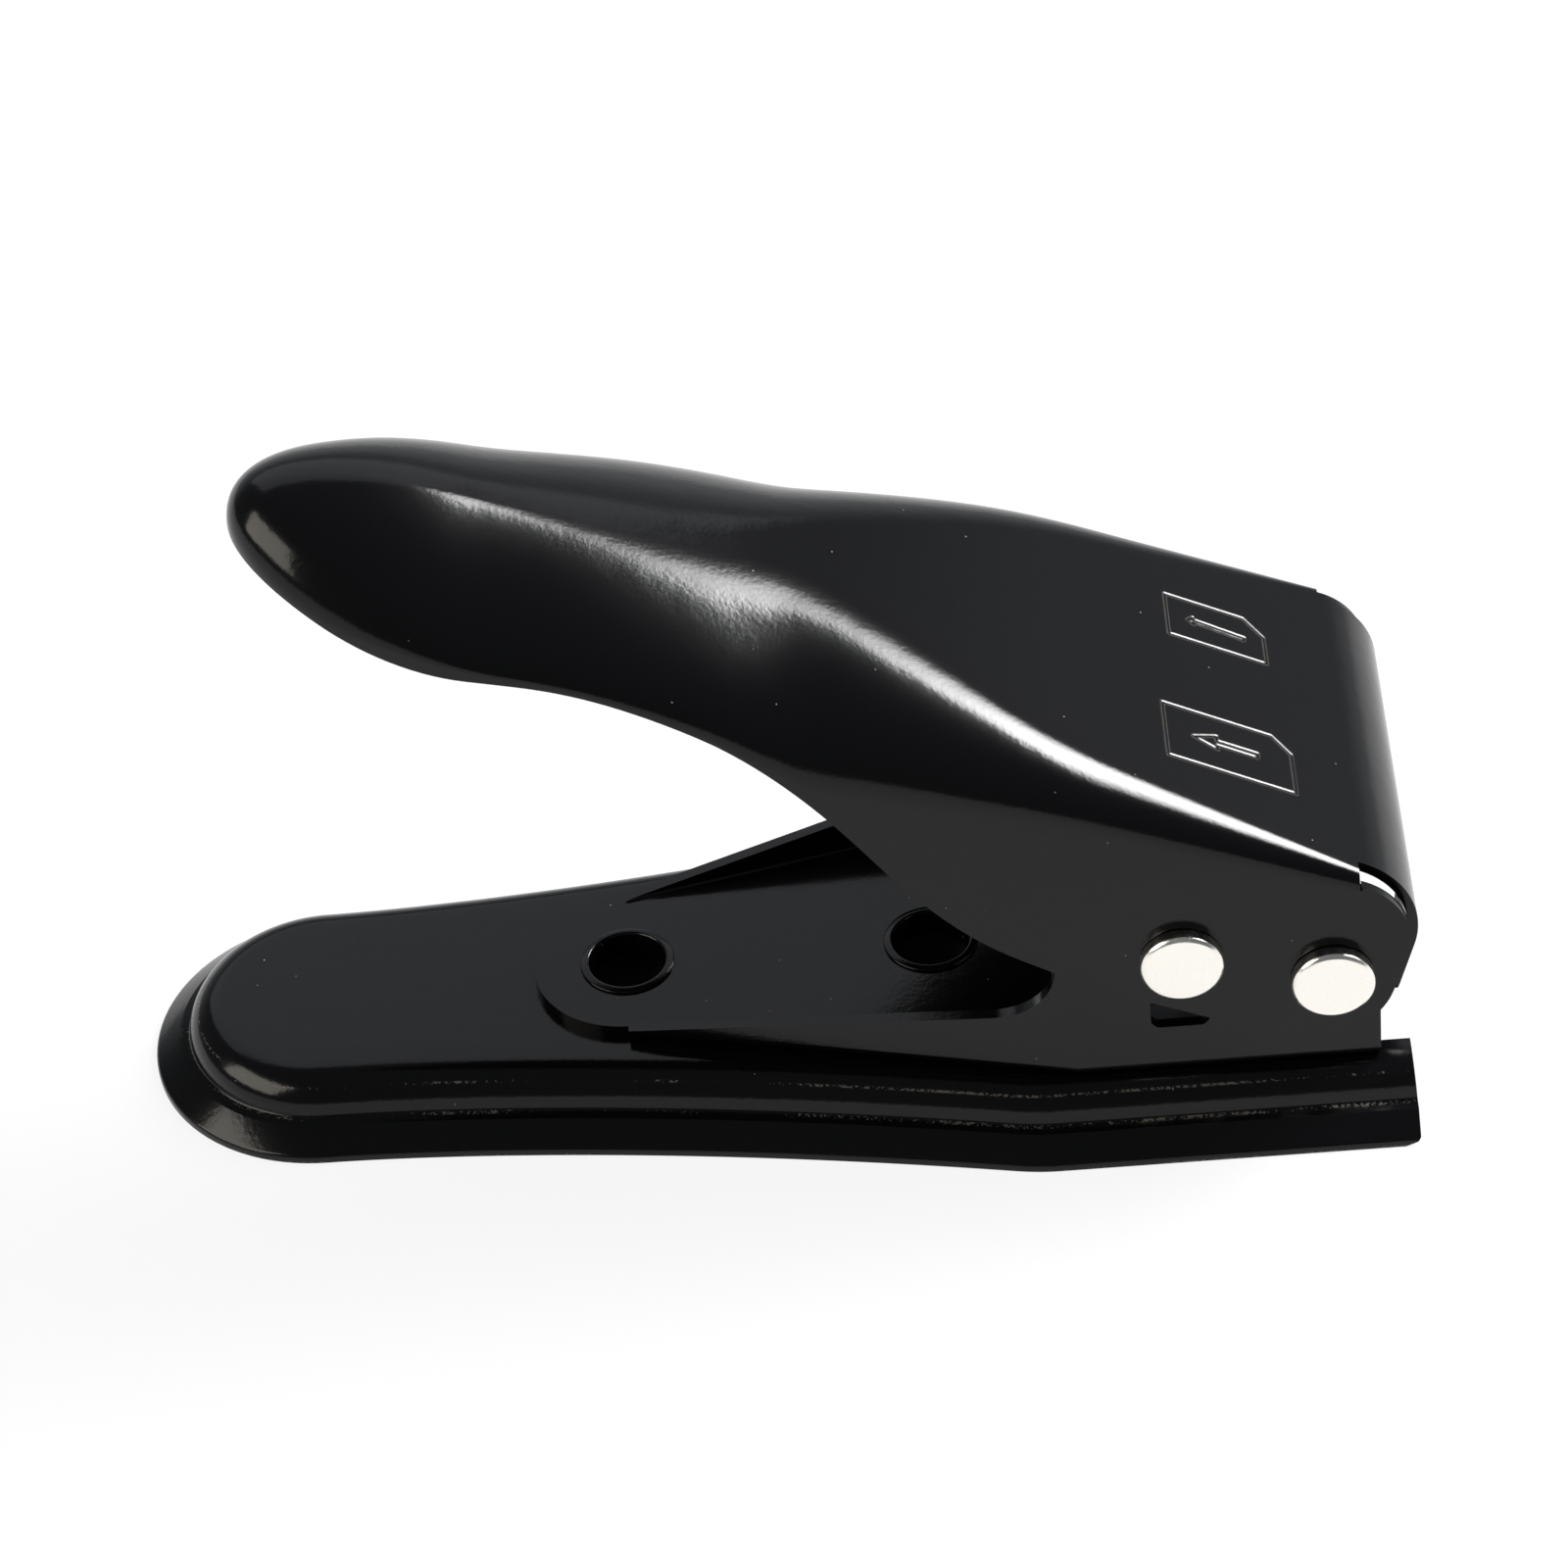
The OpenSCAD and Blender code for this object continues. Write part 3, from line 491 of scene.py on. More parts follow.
def roll_grid(shape, sizes, strip):
    """The strip, the top's middle at the shell's rear end, carried a little way on and then round a circle
    that touches the sloping top."""
    r = sizes.roll / MM
    start = shape.rear + 0.65
    out = np.array([math.sin(shape.slope), math.cos(shape.slope)])
    centre = np.array([start, float(run(shape.crown, start))]) - r * out
    path = np.concatenate([[[shape.rear, float(run(shape.crown, shape.rear))]],
                           arc(centre, r, math.degrees(math.atan2(out[1], out[0])), ROLL_END, 44)])
    return np.stack(np.broadcast_arrays(path[:, :1], strip[:, 1], path[:, 1:]), -1)


def tail_outline(sizes, row):
    """Outline of the far leg of the straight tail beside the opening, one flat face: the end of the roll, then
    arcs in (y, way down the tail) for the leg's outer corner, its foot and the opening's upper corner."""
    cut, half, tail = (v / MM for v in (sizes.tail_cut, sizes.roll_half, sizes.tail))
    outer_r, foot_r, widest_corner = 1.4, 1.0, 3.05
    leg = row[row[:, 1] > cut - widest_corner]
    inner_y = leg[0, 1]
    corner_r = cut - inner_y
    corners = np.concatenate([
        arc((half - outer_r, tail - outer_r), outer_r, 0, 90, 6),
        arc((cut + foot_r, tail - foot_r), foot_r, 90, 180, 5),
        arc((inner_y, corner_r), corner_r, -90, 0, 8)[:0:-1]])
    down = math.radians(ROLL_END - 90)
    rest = np.stack([row[-1, 0] + math.cos(down) * corners[:, 1], corners[:, 0],
                     row[-1, 2] + math.sin(down) * corners[:, 1]], -1)
    return np.concatenate([leg, rest])


def lever_surface(sizes):
    """Outer surface of the lever: the grid of its sections without the sides behind the ears' front, a flat
    face for each ear, the rolled strip, and the two legs of its tail."""
    shape = LeverShape(sizes)
    p, ear_row = lever_grid(shape, sizes)
    keep = np.ones((p.shape[0] - 1, p.shape[1] - 1), bool)
    keep[ear_row:, :SEAM] = False
    keep[ear_row:, -SEAM:] = False
    roll = roll_grid(shape, sizes, p[-1, TOP_COLUMN:-TOP_COLUMN])
    ear = ear_outline(shape, p, ear_row)
    leg = tail_outline(sizes, roll[-1])
    mirror = [1, -1, 1]
    skin = Surface()
    skin.grid(p + PIVOT, keep)
    skin.outline(ear + PIVOT)
    skin.outline(ear * mirror + PIVOT, flip=True)
    skin.grid(roll + PIVOT)
    skin.outline(leg + PIVOT, flip=True)
    skin.outline(leg * mirror + PIVOT)
    return skin


def mark_groove_highlight(piece, sizes):
    """Stores how steep the engraved lines' walls are at each point, 0.9 t (1 - t) with t the part of the full
    depth; the enamel paints a pale highlight there."""
    mesh = piece.data
    at = np.empty(len(mesh.vertices) * 3)
    mesh.vertices.foreach_get("co", at)
    at = at.reshape(-1, 3) / MM - PIVOT
    part = groove_depth(at[:, 0], at[:, 1], LeverShape(sizes).slope, sizes.groove_width / MM, 1.0)
    mesh.attributes.new("groove", "FLOAT", "POINT").data.foreach_set("value", 0.9 * part * (1 - part))


# ---- base ----

HOLE_RADIUS = 4.37              # of the holes that the eyelets fill
NOTCH_FRONT, NOTCH_HALF = 31.2, 17.9    # the opening at the rear: where it starts, and its half width
WIDENING = 1.7                  # power of the outline's curve between the nose and the kink


def base_section(sizes, top):
    """Inset and height of the pressed section from the table to the flat top: lip, sloping skirt, ledge and a
    large radius, with eased corners."""
    lip, ledge, flare = sizes.lip / MM, sizes.ledge / MM, sizes.flare / MM
    ledge_width = sizes.ledge_width / MM
    ledge_fall = 0.35                                       # how far the ledge falls outwards
    radius_from = 13                                        # angle in degrees where the large radius starts
    inset = flare + ledge_width
    r = top - ledge
    lower = rounded([[0, 0, 0], [0, lip, 0.55], [flare, ledge - ledge_fall, 0.35], [inset, ledge, 0.35],
                     [inset, ledge + 0.8, 0]], 4)
    t = np.radians(np.linspace(radius_from, 90, 16))
    upper = np.stack([inset + r - r * np.cos(t), ledge + r * np.sin(t)], -1)
    return np.concatenate([lower[:-1], upper])


def base_stations(nose_x, kink, rear):
    """Stations along the base from the rear to the nose: equal steps, with more at the eyelets' holes, at the
    kink and on both sides of the opening's front edge."""
    at_holes = [e[0] + HOLE_RADIUS * np.cos(np.radians(np.arange(0, 181, 15))) for e in EYELETS]
    xs = np.concatenate([np.linspace(nose_x, rear, 76), *at_holes, kink + np.arange(-2, 3),
                         [NOTCH_FRONT - 0.02, NOTCH_FRONT + 0.02]])
    return np.unique(np.round(xs, 4))[::-1]


def inner_border(xs, rear_x, top):
    """Where the near half of the flat top ends: at the middle line, at an eyelet's hole or at the opening."""
    y = np.zeros(len(xs))
    for e in EYELETS:
        y = np.maximum(y, np.sqrt(np.clip(HOLE_RADIUS ** 2 - (xs - e[0]) ** 2, 0, None)))
    behind = xs > NOTCH_FRONT
    y = np.where(behind, NOTCH_HALF, y)
    x = np.where(behind, rear_x, xs)
    x = np.where(np.abs(xs - NOTCH_FRONT) < 0.03, NOTCH_FRONT, x)
    return np.stack([x, -y, np.full(len(xs), top)], -1)


def base_surface(sizes):
    """Outer surface of the base: the section carried along the outline (parallel sides, a power curve
    w = r + (h - r) u^1.7 to the nose, a half circle), then the flat top from its edge to its inner border."""
    nose, kink, corner, lean = (v / MM for v in (sizes.nose, sizes.kink, sizes.rear_corner, sizes.lean))
    rear, half, top = BASE_HIGH
    front_gap = 0.05                                        # from the CAD's front end
    nose_x = BASE_LOW[0] + front_gap + nose
    xs = base_stations(nose_x, kink, rear)
    u = np.clip((xs - nose_x) / (kink - nose_x), 0, 1)
    w = nose + (half - nose) * u ** WIDENING
    ease = 2.2                                              # the kink is eased over a short parabola
    turn = WIDENING * (half - nose) / (kink - nose_x)
    w = w - turn * np.clip(ease - np.abs(xs - kink), 0, None) ** 2 / (4 * ease)
    section = base_section(sizes, top)
    inset, z = section[:, 0], section[:, 1]

    # the rear end leans in, and the sheet's corner is rounded along the section
    along = np.concatenate([[0], np.cumsum(np.hypot(*np.diff(section, axis=0).T))])
    cut = corner - np.sqrt(np.clip(corner ** 2 - np.clip(corner - along, 0, None) ** 2, 0, None))
    end = rear - lean * z / top - cut
    upright = 50                                            # stations in front of this x don't lean
    pull = np.clip((xs - upright) / (rear - upright), 0, 1)[:, None]
    side_x = xs[:, None] + (end - rear) * pull
    side = np.stack([side_x, -w[:, None] + inset, np.broadcast_to(z, side_x.shape)], -1)

    t = np.radians(np.linspace(270, 180, 26))[1:, None]
    r = nose - inset
    front = np.stack([nose_x + r * np.cos(t), r * np.sin(t), np.broadcast_to(z, (len(t), len(z)))], -1)
    skirt = np.concatenate([side, front])
    nose_centre = np.tile([[nose_x, 0, top]], (len(front), 1))
    inner = np.concatenate([inner_border(xs, side_x[:, -1], top), nose_centre])
    q = np.linspace(0, 1, 5)[1:, None]
    plate = skirt[:, -1:] * (1 - q) + inner[:, None] * q
    near_half = np.concatenate([skirt, plate], 1)
    skin = Surface()
    skin.grid(near_half, flip=True)
    skin.grid(near_half * [1, -1, 1])
    return skin


# ---- small pieces ----


def eyelet_surface(centre, low, high):
    """Tube with both rims rolled outwards: a closed profile turned about the vertical."""
    bore, tube, rim, rim_height = 3.85, 4.35, 4.75, 0.5
    middle = (low + high) / 2
    profile = rounded([[bore, middle, 0], [bore, high, 0.3], [rim, high - rim_height / 2, 0.12],
                       [rim, high - rim_height, 0.08], [tube, high - rim_height, 0.05],
                       [tube, low + rim_height, 0.05], [rim, low + rim_height, 0.08], [rim, low, 0.2],
                       [bore, low, 0.3], [bore, middle, 0]], 6)
    skin = Surface()
    skin.grid(turned(profile, (centre[0], centre[1], 0), (0, 0, 1), 72), closed=True)
    return skin


def pin_surface(centre, half, sizes):
    """Shaft with a flat domed head at each end: one closed profile turned about the pin's axis."""
    shaft, head = sizes.shaft / MM, sizes.head / MM
    seat = half - sizes.head_height / MM
    end = rounded([[0, half, 0], [head * 0.55, half - 0.01, 6], [head - 0.35, half - 0.05, 0.6],
                   [head, half - 0.4, 0.35], [head, seat + 0.12, 0.1], [head - 0.15, seat, 0.05],
                   [shaft, seat, 0.1], [shaft, 0, 0]], 5)
    other = end[::-1] * [1, -1]
    profile = np.concatenate([end, other[1:]])
    skin = Surface()
    skin.grid(turned(profile, centre, (0, -1, 0), 96), closed=True, flip=True)
    return skin


def spring_surface(centre, low, high, sizes):
    """Coil of round wire with capped ends: a ring of radius d/2 carried along (R cos t, R sin t, p t)."""
    radius, wire, turns = sizes.coil / MM, sizes.wire / MM, sizes.turns
    per_turn, sides = 28, 12
    t = np.linspace(0, 2 * math.pi * turns, turns * per_turn + 1)[:, None]
    start = low + wire / 2
    rise = (high - low - wire) / (2 * math.pi * turns)
    out = np.concatenate([np.cos(t), np.sin(t), 0 * t], 1)
    tangent = np.concatenate([-radius * np.sin(t), radius * np.cos(t), rise + 0 * t], 1)
    tangent /= np.linalg.norm(tangent, axis=1, keepdims=True)
    up = np.cross(out, tangent)
    line = out * radius + np.concatenate([0 * t, 0 * t, start + rise * t], 1) + [centre[0], centre[1], 0]
    k = np.linspace(0, 2 * math.pi, sides, endpoint=False)[None, :, None]
    p = line[:, None] + wire / 2 * (np.cos(k) * out[:, None] + np.sin(k) * up[:, None])
    skin = Surface()
    skin.grid(p, closed=True)
    skin.outline(p[0], flip=True)
    skin.outline(p[-1])
    return skin


def eased_copy(name, node, edge):
    """A CAD node's mesh with its doubles merged, its flat faces joined and its arrises eased."""
    mesh = frame["nodes"][node].data.copy()
    mesh.name = name
    bm = bmesh.new()
    bm.from_mesh(mesh)
    bmesh.ops.remove_doubles(bm, verts=bm.verts, dist=1e-6)
    bmesh.ops.dissolve_limit(bm, angle_limit=math.radians(0.6), verts=bm.verts, edges=bm.edges)
    bm.to_mesh(mesh)
    bm.free()
    piece = bpy.data.objects.new(name, mesh)
    bpy.context.scene.collection.objects.link(piece)
    ease_edges(piece, edge, 2, 40)
    flat = piece.modifiers.new("flat_faces", "WEIGHTED_NORMAL")
    flat.mode = "FACE_AREA"
    flat.weight = 80
    flat.keep_sharp = True
    return piece


# ---- materials ----


def linear(code):
    """Linear RGBA from an sRGB hex code."""
    c = np.array([int(code[i:i + 2], 16) for i in (1, 3, 5)]) / 255
    return (*np.where(c <= 0.04045, c / 12.92, ((c + 0.055) / 1.055) ** 2.4), 1.0)


def add(tree, kind, inputs=None, **values):
    """Adds a shader node, sets its properties, and sets or links its inputs. Those of a MapRange node have the
    numbers 1 and 2 for the range that it reads and 3 and 4 for the range that it gives."""
    node = tree.nodes.new("ShaderNode" + kind)
    for key, value in values.items():
        setattr(node, key, value)
    for key, value in (inputs or {}).items():
        if isinstance(value, bpy.types.NodeSocket):
            tree.links.new(value, node.inputs[key])
        else:
            node.inputs[key].default_value = value
    return node


def material(name):
    """A new material, its empty node tree and its Object coordinates."""
    m = bpy.data.materials.new(name)
    m.use_nodes = True
    m.node_tree.nodes.clear()
    return m, m.node_tree, add(m.node_tree, "TexCoord").outputs["Object"]


def noise(tree, where, grain, detail, **inputs):
    """Noise whose grain is about that many millimetres wide."""
    values = {"Vector": where, "Scale": 1 / (grain * MM), "Detail": detail, **inputs}
    return add(tree, "TexNoise", values).outputs["Fac"]


def scuffs_and_glints(tree, where, levels):
    """Dotted marks along the arrises at the levels (height, half width), in stretches some 15 mm long: scuffs
    in the enamel, and at the shoulder partly painted glints of light on the orange peel.
    """
    height = add(tree, "SeparateXYZ", {"Vector": where}).outputs["Z"]
    dots = noise(tree, where, 0.3, 2.0)
    stretches = noise(tree, where, 15, 1.0)
    both = add(tree, "Math", {0: dots, 1: stretches}, operation="ADD")
    dotted = add(tree, "MapRange", {"Value": both.outputs[0], 1: 1.08, 2: 1.2, 3: 0.0, 4: 1.0})
    found = []
    for level, half in levels:
        off = add(tree, "Math", {0: height, 1: level * MM}, operation="SUBTRACT")
        away = add(tree, "Math", {0: off.outputs[0]}, operation="ABSOLUTE")
        near = add(tree, "MapRange", {
            "Value": away.outputs[0], 1: half * MM, 2: 0.4 * half * MM, 3: 0.0, 4: 0.5})
        found.append(add(tree, "Math", {0: near.outputs[0], 1: dotted.outputs[0]}, operation="MULTIPLY"))
    return found


def gloss_enamel(name, rubbed_and_glinting=()):
    """Stoved gloss enamel on pressed steel: nearly black, sharp reflections whose edges are ragged with
    orange peel, a few dust specks, a painted highlight as a pale double line on the walls of engraved lines,
    and dotted grey marks at the heights given, (height, half width) in millimetres: scuffs, partly painted
    glints."""
    m, tree, where = material(name)
    f = settings().finishes
    # orange peel 0.5 mm wide on a slow swell 3.2 mm wide: breaks up the edges of the highlights
    peel = noise(tree, where, 0.5, 2.0, Roughness=0.55)
    swell = noise(tree, where, 3.2, 1.0)
    height = add(tree, "Math", {0: swell, 1: 2.0, 2: peel}, operation="MULTIPLY_ADD")
    bump = add(tree, "Bump", {"Strength": 0.08, "Distance": 0.15 * MM, "Height": height.outputs[0]})
    # dust specks about 0.15 mm wide, one in each 3.4 mm cell
    specks = add(tree, "TexVoronoi", {"Vector": where, "Scale": 1 / (3.4 * MM), "Randomness": 1.0})
    dust = add(tree, "MapRange", {"Value": specks.outputs["Distance"], 1: 0.028, 2: 0.02, 3: 0.0, 4: 1.0})
    # painted highlight on the walls of the engraved lines: a fine pale double line
    groove = add(tree, "Attribute", attribute_name="groove")
    pale = add(tree, "Math", {0: dust.outputs[0], 1: groove.outputs["Fac"]}, operation="MAXIMUM")
    # grey dots at the given heights: scuffs, and partly painted glints
    for scuff_and_glint in scuffs_and_glints(tree, where, rubbed_and_glinting) if rubbed_and_glinting else ():
        pale = add(tree, "Math", {0: pale.outputs[0], 1: scuff_and_glint.outputs[0]}, operation="MAXIMUM")
    colour = add(tree, "Mix", {0: pale.outputs[0], 6: linear(f.enamel), 7: linear(f.worn_and_highlight)}, data_type="RGBA")
    shader = add(tree, "BsdfPrincipled", {
        "Base Color": colour.outputs[2], "Roughness": 0.15, "IOR": 1.5, "Specular IOR Level": 0.25,
        "Normal": bump.outputs["Normal"]})
    add(tree, "OutputMaterial", {"Surface": shader.outputs["BSDF"]})
    return m


def bare_metal(tree, colour, rough, bump):
    """Joins a metal's colour, roughness and bump to the output."""
    shader = add(tree, "BsdfPrincipled", {
        "Base Color": linear(colour), "Metallic": 1.0, "Roughness": rough.outputs[0],
        "Normal": bump.outputs["Normal"]})
    add(tree, "OutputMaterial", {"Surface": shader.outputs["BSDF"]})


def bright_nickel(name):
    """Bright nickel plate over an upset steel head: warm white mirror with fine scuffs 0.25 mm wide and soft
    hammer marks 1.1 mm wide."""
    m, tree, where = material(name)
    dents = noise(tree, where, 1.1, 3.0, Roughness=0.6)
    fine = noise(tree, where, 0.25, 2.0)
    height = add(tree, "Math", {0: fine, 1: 0.2, 2: dents}, operation="MULTIPLY_ADD")
    bump = add(tree, "Bump", {"Strength": 0.25, "Distance": 0.05 * MM, "Height": height.outputs[0]})
    rough = add(tree, "MapRange", {"Value": dents, 1: 0.3, 2: 0.75, 3: 0.12, 4: 0.32})
    bare_metal(tree, settings().finishes.nickel, rough, bump)
    return m


def ground_steel(name, across, colour):
    """Surface-ground tool steel: grey with fine parallel grinding lines 0.12 mm apart, a twelfth of the
    noise's 1.4 mm along the axis in across, and a patchy film of oil."""
    m, tree, where = material(name)
    stretch = add(tree, "Mapping", {"Vector": where, "Scale": tuple(12.0 if a else 1.0 for a in across)})
    lines = noise(tree, stretch.outputs[0], 1.4, 3.0)
    patch = noise(tree, where, 4, 2.0)
    bump = add(tree, "Bump", {"Strength": 0.15, "Distance": 0.02 * MM, "Height": lines})
    rough = add(tree, "MapRange", {"Value": patch, 1: 0.3, 2: 0.7, 3: 0.26, 4: 0.42})
    bare_metal(tree, colour, rough, bump)
    return m


def finish(name, maker, *args):
    """The named finish, made the first time that a piece asks for it."""
    return bpy.data.materials.get(name) or maker(name, *args)


# ---- operators ----

MADE_NODES = ("lever", "base", "bracket", "front_eyelet", "rear_eyelet", "pivot_pin", "drive_pin",
              "front_spring", "rear_spring")
BASE_ARRISES = ((0.12, 0.12), (2.82, 0.09), (5.6, 0.12))    # heights of the base's rubbed arrises; the dots at the shoulder, 5.6, are partly painted glints
EDGE, LEVER_EDGE = 0.22, 0.42   # widths of the eased edges in millimetres


class CUTTER_OT_lever(bpy.types.Operator):
    """Make the lever's pressed shell with its ears, rolled rear end and engraved card outlines"""
    bl_idname = "cutter.lever"
    bl_label = "Lever"

    def execute(self, context):
        sizes = settings().lever
        piece = lever_surface(sizes).make("lever_shell")
        mark_groove_highlight(piece, sizes)
        sheet_wall(piece, sizes.sheet, LEVER_EDGE, 3)
        dress(piece, "lever", "black_paint", finish("gloss_enamel", gloss_enamel), "lever")
        return {"FINISHED"}


class CUTTER_OT_base(bpy.types.Operator):
    """Make the pressed base"""
    bl_idname = "cutter.base"
    bl_label = "Base"

    def execute(self, context):
        sizes = settings().base
        piece = base_surface(sizes).make("base_pressing")
        sheet_wall(piece, sizes.sheet, EDGE, 2)
        # the base's dotted arris marks are scuffs and, at the shoulder, partly painted glints
        dress(piece, "frame", "black_paint", finish("rubbed_enamel", gloss_enamel, BASE_ARRISES), "base")
        return {"FINISHED"}


class CUTTER_OT_bracket(bpy.types.Operator):
    """Make the folded bracket with eased edges"""
    bl_idname = "cutter.bracket"
    bl_label = "Bracket"

    def execute(self, context):
        piece = eased_copy("bracket_folding", "bracket", EDGE)
        dress(piece, "frame", "black_paint", finish("gloss_enamel", gloss_enamel), "bracket")
        return {"FINISHED"}


class CUTTER_OT_eyelets(bpy.types.Operator):
    """Make the two rolled eyelets"""
    bl_idname = "cutter.eyelets"
    bl_label = "Eyelets"

    def execute(self, context):
        for node in ("front_eyelet", "rear_eyelet"):
            low, high = node_box(node)
            piece = eyelet_surface((low + high) / 2, low[2], high[2]).make(f"{node}_rolled")
            dress(piece, "frame", "black_paint", finish("gloss_enamel", gloss_enamel), node)
        return {"FINISHED"}


class CUTTER_OT_pins(bpy.types.Operator):
    """Make the nickel-plated pivot pin and drive pin"""
    bl_idname = "cutter.pins"
    bl_label = "Pins"

    def execute(self, context):
        for node, body in (("pivot_pin", "frame"), ("drive_pin", "lever")):
            low, high = node_box(node)
            piece = pin_surface((low + high) / 2, high[1], settings().pins).make(f"{node}_turned")
            dress(piece, body, "nickel", finish("bright_nickel", bright_nickel), node)
        return {"FINISHED"}


class CUTTER_OT_springs(bpy.types.Operator):
    """Make the two return springs"""
    bl_idname = "cutter.springs"
    bl_label = "Springs"

    def execute(self, context):
        for node in ("front_spring", "rear_spring"):
            low, high = node_box(node)
            centre = (low + high) / 2
            piece = spring_surface(centre, low[2], high[2], settings().pins).make(f"{node}_coil")
            dress(piece, "frame", "nickel", finish("bright_nickel", bright_nickel), node)
            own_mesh(piece)
        return {"FINISHED"}


class CUTTER_OT_inner_steel(bpy.types.Operator):
    """Give the die set, punches, carrier, posts, washers and screws their ground-steel finish, the carrier a
    darker grey as painted shade
    """
    bl_idname = "cutter.inner_steel"
    bl_label = "Inner steel"

    def execute(self, context):
        f = settings().finishes
        for node, piece in frame["nodes"].items():
            if node in MADE_NODES:
                continue
            name, across, colour = "ground_steel_flat", (0, 1, 0), f.steel
            if node.endswith(("punch", "post")):
                name, across = "ground_steel_upright", (0, 0, 1)
            # painted shade: the carrier, seen through the slot, gets a darker grey
            if node == "punch_carrier":
                name, colour = "blackened_steel", f.blackened
            piece.data.materials.clear()
            piece.data.materials.append(finish(name, ground_steel, across, colour))
        return {"FINISHED"}


# ---- stage ----

FLOOR_RADIUS = 3000             # millimetres
FLOOR_HEIGHT = -0.02            # just under the base
HIDDEN_HALF = (45, 17.5)        # half length and half width of the floor that the base keeps light from


def make_floor(s):
    """A wide pale disc that gives light, but not under the base, where no light gets in."""
    t = np.linspace(0, 2 * math.pi, 64, endpoint=False)
    r = np.array([[0.0], [1.0]]) * FLOOR_RADIUS
    skin = Surface()
    skin.grid(np.stack([r * np.cos(t), r * np.sin(t), 0 * r * t + FLOOR_HEIGHT], -1), closed=True)
    floor = skin.make("floor")
    m, tree, where = material("matt_floor")
    tone = add(tree, "TexNoise", {"Vector": where, "Scale": 3.0, "Detail": 1.0})
    rough = add(tree, "MapRange", {"Value": tone.outputs["Fac"], 3: 0.8, 4: 0.95})
    spread = (1 / (HIDDEN_HALF[0] * MM), 1 / (HIDDEN_HALF[1] * MM), 1)
    spot = add(tree, "VectorMath", {0: where, 1: spread}, operation="MULTIPLY")
    away = add(tree, "VectorMath", {0: spot.outputs[0]}, operation="ABSOLUTE")
    axes = add(tree, "SeparateXYZ", {"Vector": away.outputs[0]})
    far = add(tree, "Math", {0: axes.outputs["X"], 1: axes.outputs["Y"]}, operation="MAXIMUM")
    glow = add(tree, "MapRange", {"Value": far.outputs[0], 1: 0.96, 2: 1.0, 3: 0.0, 4: s.glow})
    shader = add(tree, "BsdfPrincipled", {
        "Base Color": linear(s.floor), "Roughness": rough.outputs[0], "Specular IOR Level": 0.0,
        "Emission Color": (1, 1, 1, 1), "Emission Strength": glow.outputs[0]})
    add(tree, "OutputMaterial", {"Surface": shader.outputs["BSDF"]})
    floor.data.materials.append(m)


def make_room(s):
    """A dim room, with a pale backdrop low down behind and to the right that gives the rounded edges their
    sheen: room + backdrop x (how low the direction is) x (how far behind and to the right it is)."""
    world = bpy.data.worlds.new("studio")
    world.use_nodes = True
    bpy.context.scene.world = world
    tree = world.node_tree
    tree.nodes.clear()
    way = add(tree, "SeparateXYZ", {"Vector": add(tree, "TexCoord").outputs["Generated"]})
    low = add(tree, "MapRange", {"Value": way.outputs["Z"], 1: 0.12, 2: 0.42, 3: 1.0, 4: 0.0})
    side = add(tree, "Math", {0: way.outputs["X"], 1: 0.6, 2: way.outputs["Y"]}, operation="MULTIPLY_ADD")
    behind = add(tree, "MapRange", {"Value": side.outputs[0], 1: 0.1, 2: 0.7, 3: 0.0, 4: 1.0})
    pale = add(tree, "Math", {0: low.outputs[0], 1: behind.outputs[0]}, operation="MULTIPLY")
    glow = add(tree, "Math", {0: pale.outputs[0], 1: s.backdrop, 2: s.room}, operation="MULTIPLY_ADD")
    light = add(tree, "Background", {"Color": (0.9, 0.95, 1.0, 1), "Strength": glow.outputs[0]})
    add(tree, "OutputWorld", {"Surface": light.outputs[0]})


def area_light(name, azimuth, elevation, distance, size, power, colour=(1, 1, 1), aim=(0.03, 0.0, 0.03)):
    """A soft rectangular light that faces the cutter from a direction in degrees; lengths in metres."""
    a, e = math.radians(azimuth), math.radians(elevation)
    aim = Vector(aim)
    place = aim + distance * Vector((math.cos(e) * math.cos(a), math.cos(e) * math.sin(a), math.sin(e)))
    data = bpy.data.lights.new(name, "AREA")
    data.shape = "RECTANGLE"
    data.size, data.size_y = size
    data.energy = power
    data.color = colour
    light = bpy.data.objects.new(name, data)
    light.location = place
    light.rotation_euler = (aim - place).to_track_quat("-Z", "Y").to_euler()
    bpy.context.scene.collection.objects.link(light)
    return light


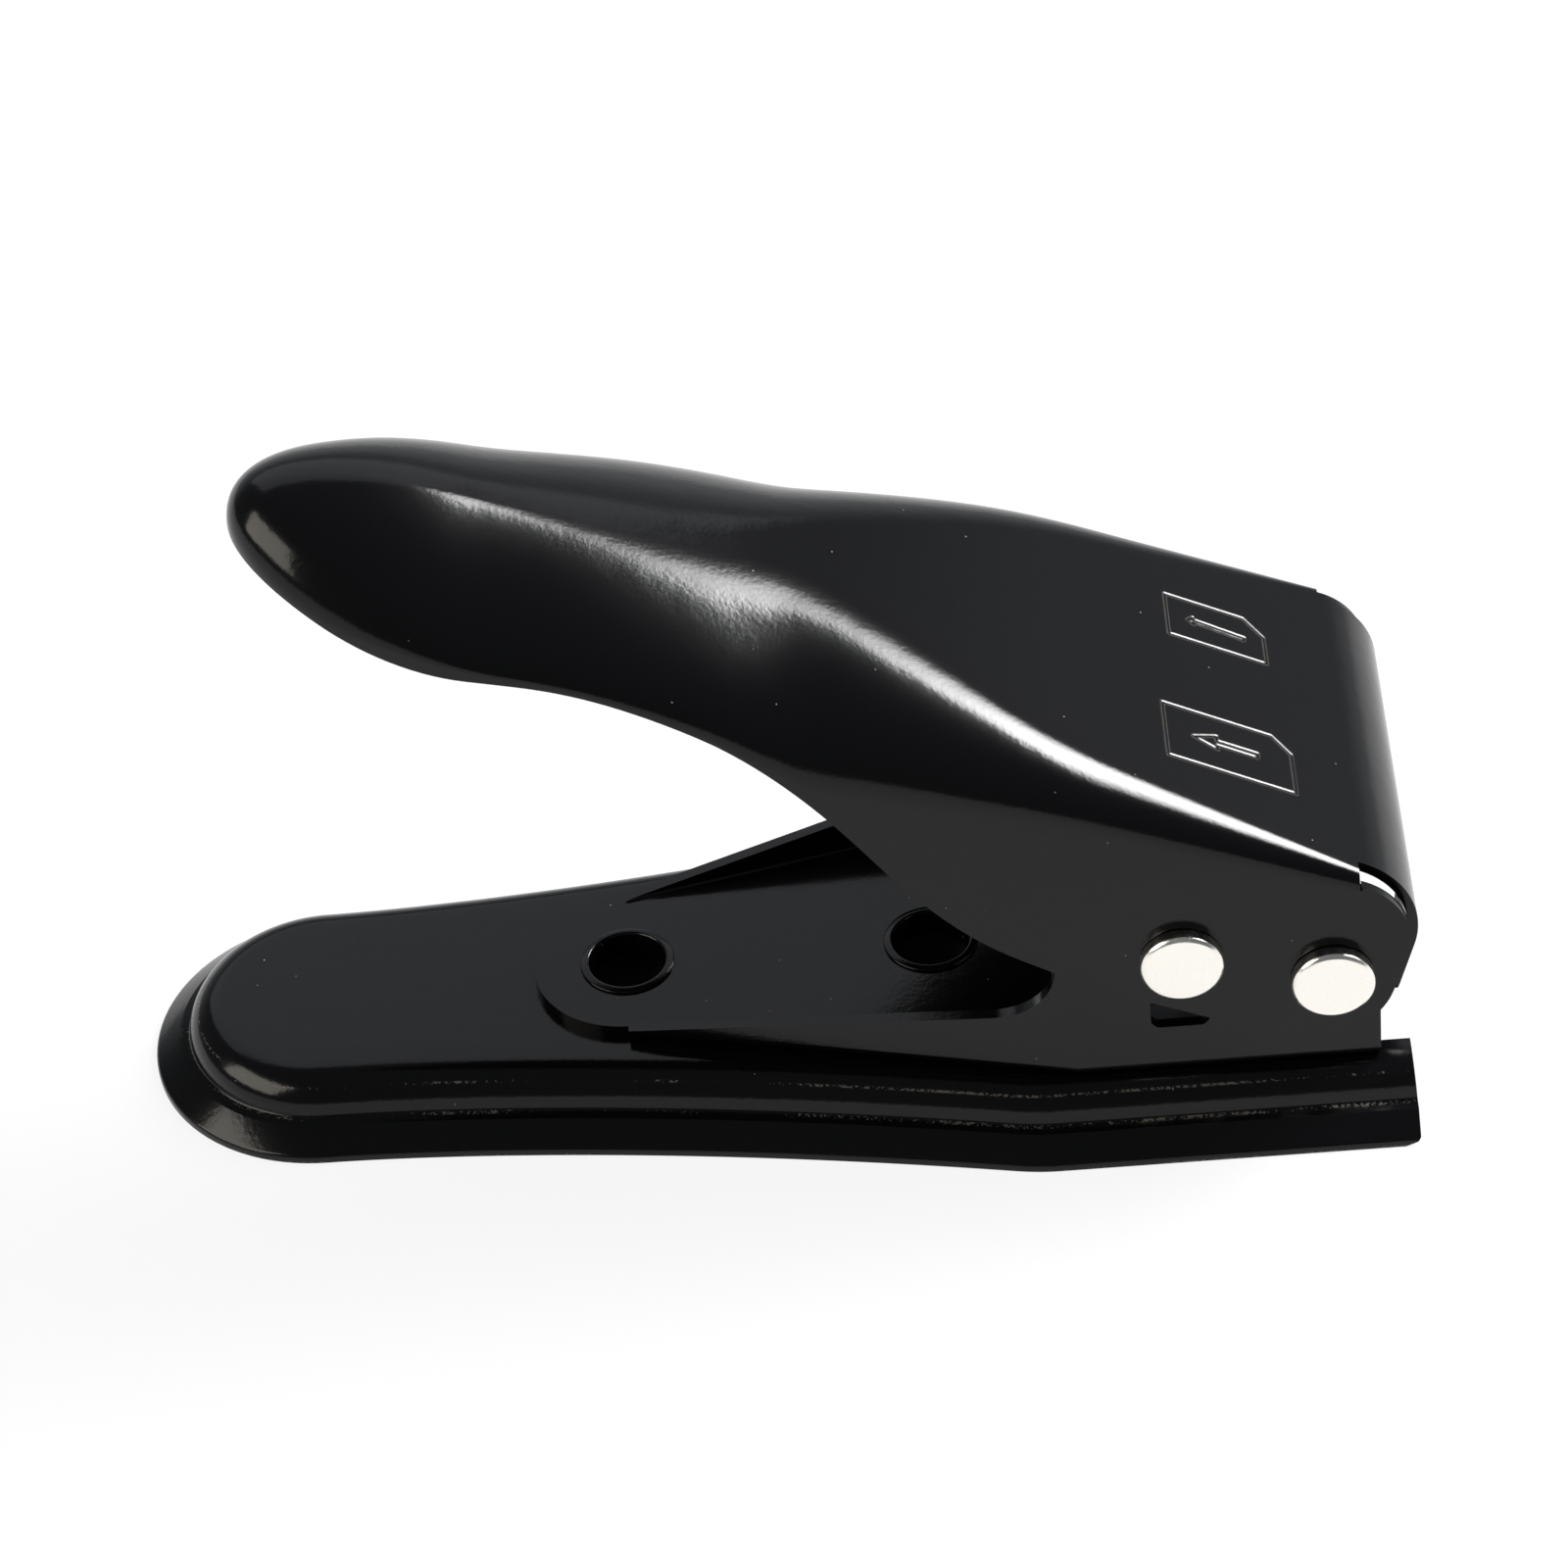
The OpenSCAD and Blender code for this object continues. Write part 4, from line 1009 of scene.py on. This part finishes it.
def make_camera(s):
    """A camera that looks at the target from the given direction and distance, turned by its roll."""
    data = bpy.data.cameras.new("camera")
    data.lens = s.lens
    data.sensor_width = data.sensor_height = 36.0
    data.clip_start, data.clip_end = 0.01, 20.0
    camera = bpy.data.objects.new("camera", data)
    bpy.context.scene.collection.objects.link(camera)
    a, e, roll = s.azimuth, s.elevation, s.roll
    away = Vector((math.sin(a) * math.cos(e), -math.cos(a) * math.cos(e), math.sin(e)))
    right = Vector((math.cos(a), math.sin(a), 0.0))
    up = away.cross(right)
    side = right * math.cos(roll) + up * math.sin(roll)
    rise = up * math.cos(roll) - right * math.sin(roll)
    turn = Matrix((side, rise, away)).transposed().to_4x4()
    camera.matrix_world = Matrix.Translation(Vector(s.target) + away * s.distance) @ turn
    bpy.context.scene.camera = camera


class CUTTER_OT_stage(bpy.types.Operator):
    """Make the pale floor, the soft lights and the camera"""
    bl_idname = "cutter.stage"
    bl_label = "Stage"

    def execute(self, context):
        s = settings().stage
        make_floor(s)
        make_room(s)
        key = area_light("key_softbox", 26, 42, 0.75, (0.68, 0.40), 3.4, aim=(0.085, -0.02, 0.03))
        key.data.spread = math.radians(46)                  # a honeycomb grid keeps it off the thumb end
        area_light("left_window", -157, 29, 1.0, (0.75, 0.60), 7, (1.0, 0.94, 0.84))
        area_light("rear_card", 98, 42, 1.2, (1.25, 0.75), 2.2, (0.94, 0.96, 1.0))
        make_camera(s)
        context.scene.view_settings.view_transform = "Standard"
        return {"FINISHED"}


class CUTTER_PT_panel(bpy.types.Panel):
    bl_label = "Card cutter"
    bl_idname = "CUTTER_PT_panel"
    bl_space_type = "VIEW_3D"
    bl_region_type = "UI"
    bl_category = "Card cutter"

    def draw(self, context):
        s = settings()
        for group in (s.lever, s.base, s.pins, s.finishes, s.stage):
            box = self.layout.box()
            for name in group.bl_rna.properties.keys():
                if name not in ("rna_type", "name"):
                    box.prop(group, name)
        for operator in STEPS:
            self.layout.operator(operator.bl_idname)


GROUPS = (LeverSizes, BaseSizes, PinSizes, Finishes, StageSettings, CutterSettings)
STEPS = (CUTTER_OT_lever, CUTTER_OT_base, CUTTER_OT_bracket, CUTTER_OT_eyelets, CUTTER_OT_pins,
         CUTTER_OT_springs, CUTTER_OT_inner_steel, CUTTER_OT_stage)
CLASSES = GROUPS + STEPS + (CUTTER_PT_panel,)


def register():
    for cls in CLASSES:
        bpy.utils.register_class(cls)
    bpy.types.Scene.card_cutter = PointerProperty(type=CutterSettings)


def unregister():
    del bpy.types.Scene.card_cutter
    for cls in reversed(CLASSES):
        bpy.utils.unregister_class(cls)


def main():
    """Makes every piece and the stage."""
    register()
    for step in STEPS:
        group, name = step.bl_idname.split(".")
        getattr(getattr(bpy.ops, group), name)()


if __name__ == "__main__":
    main()
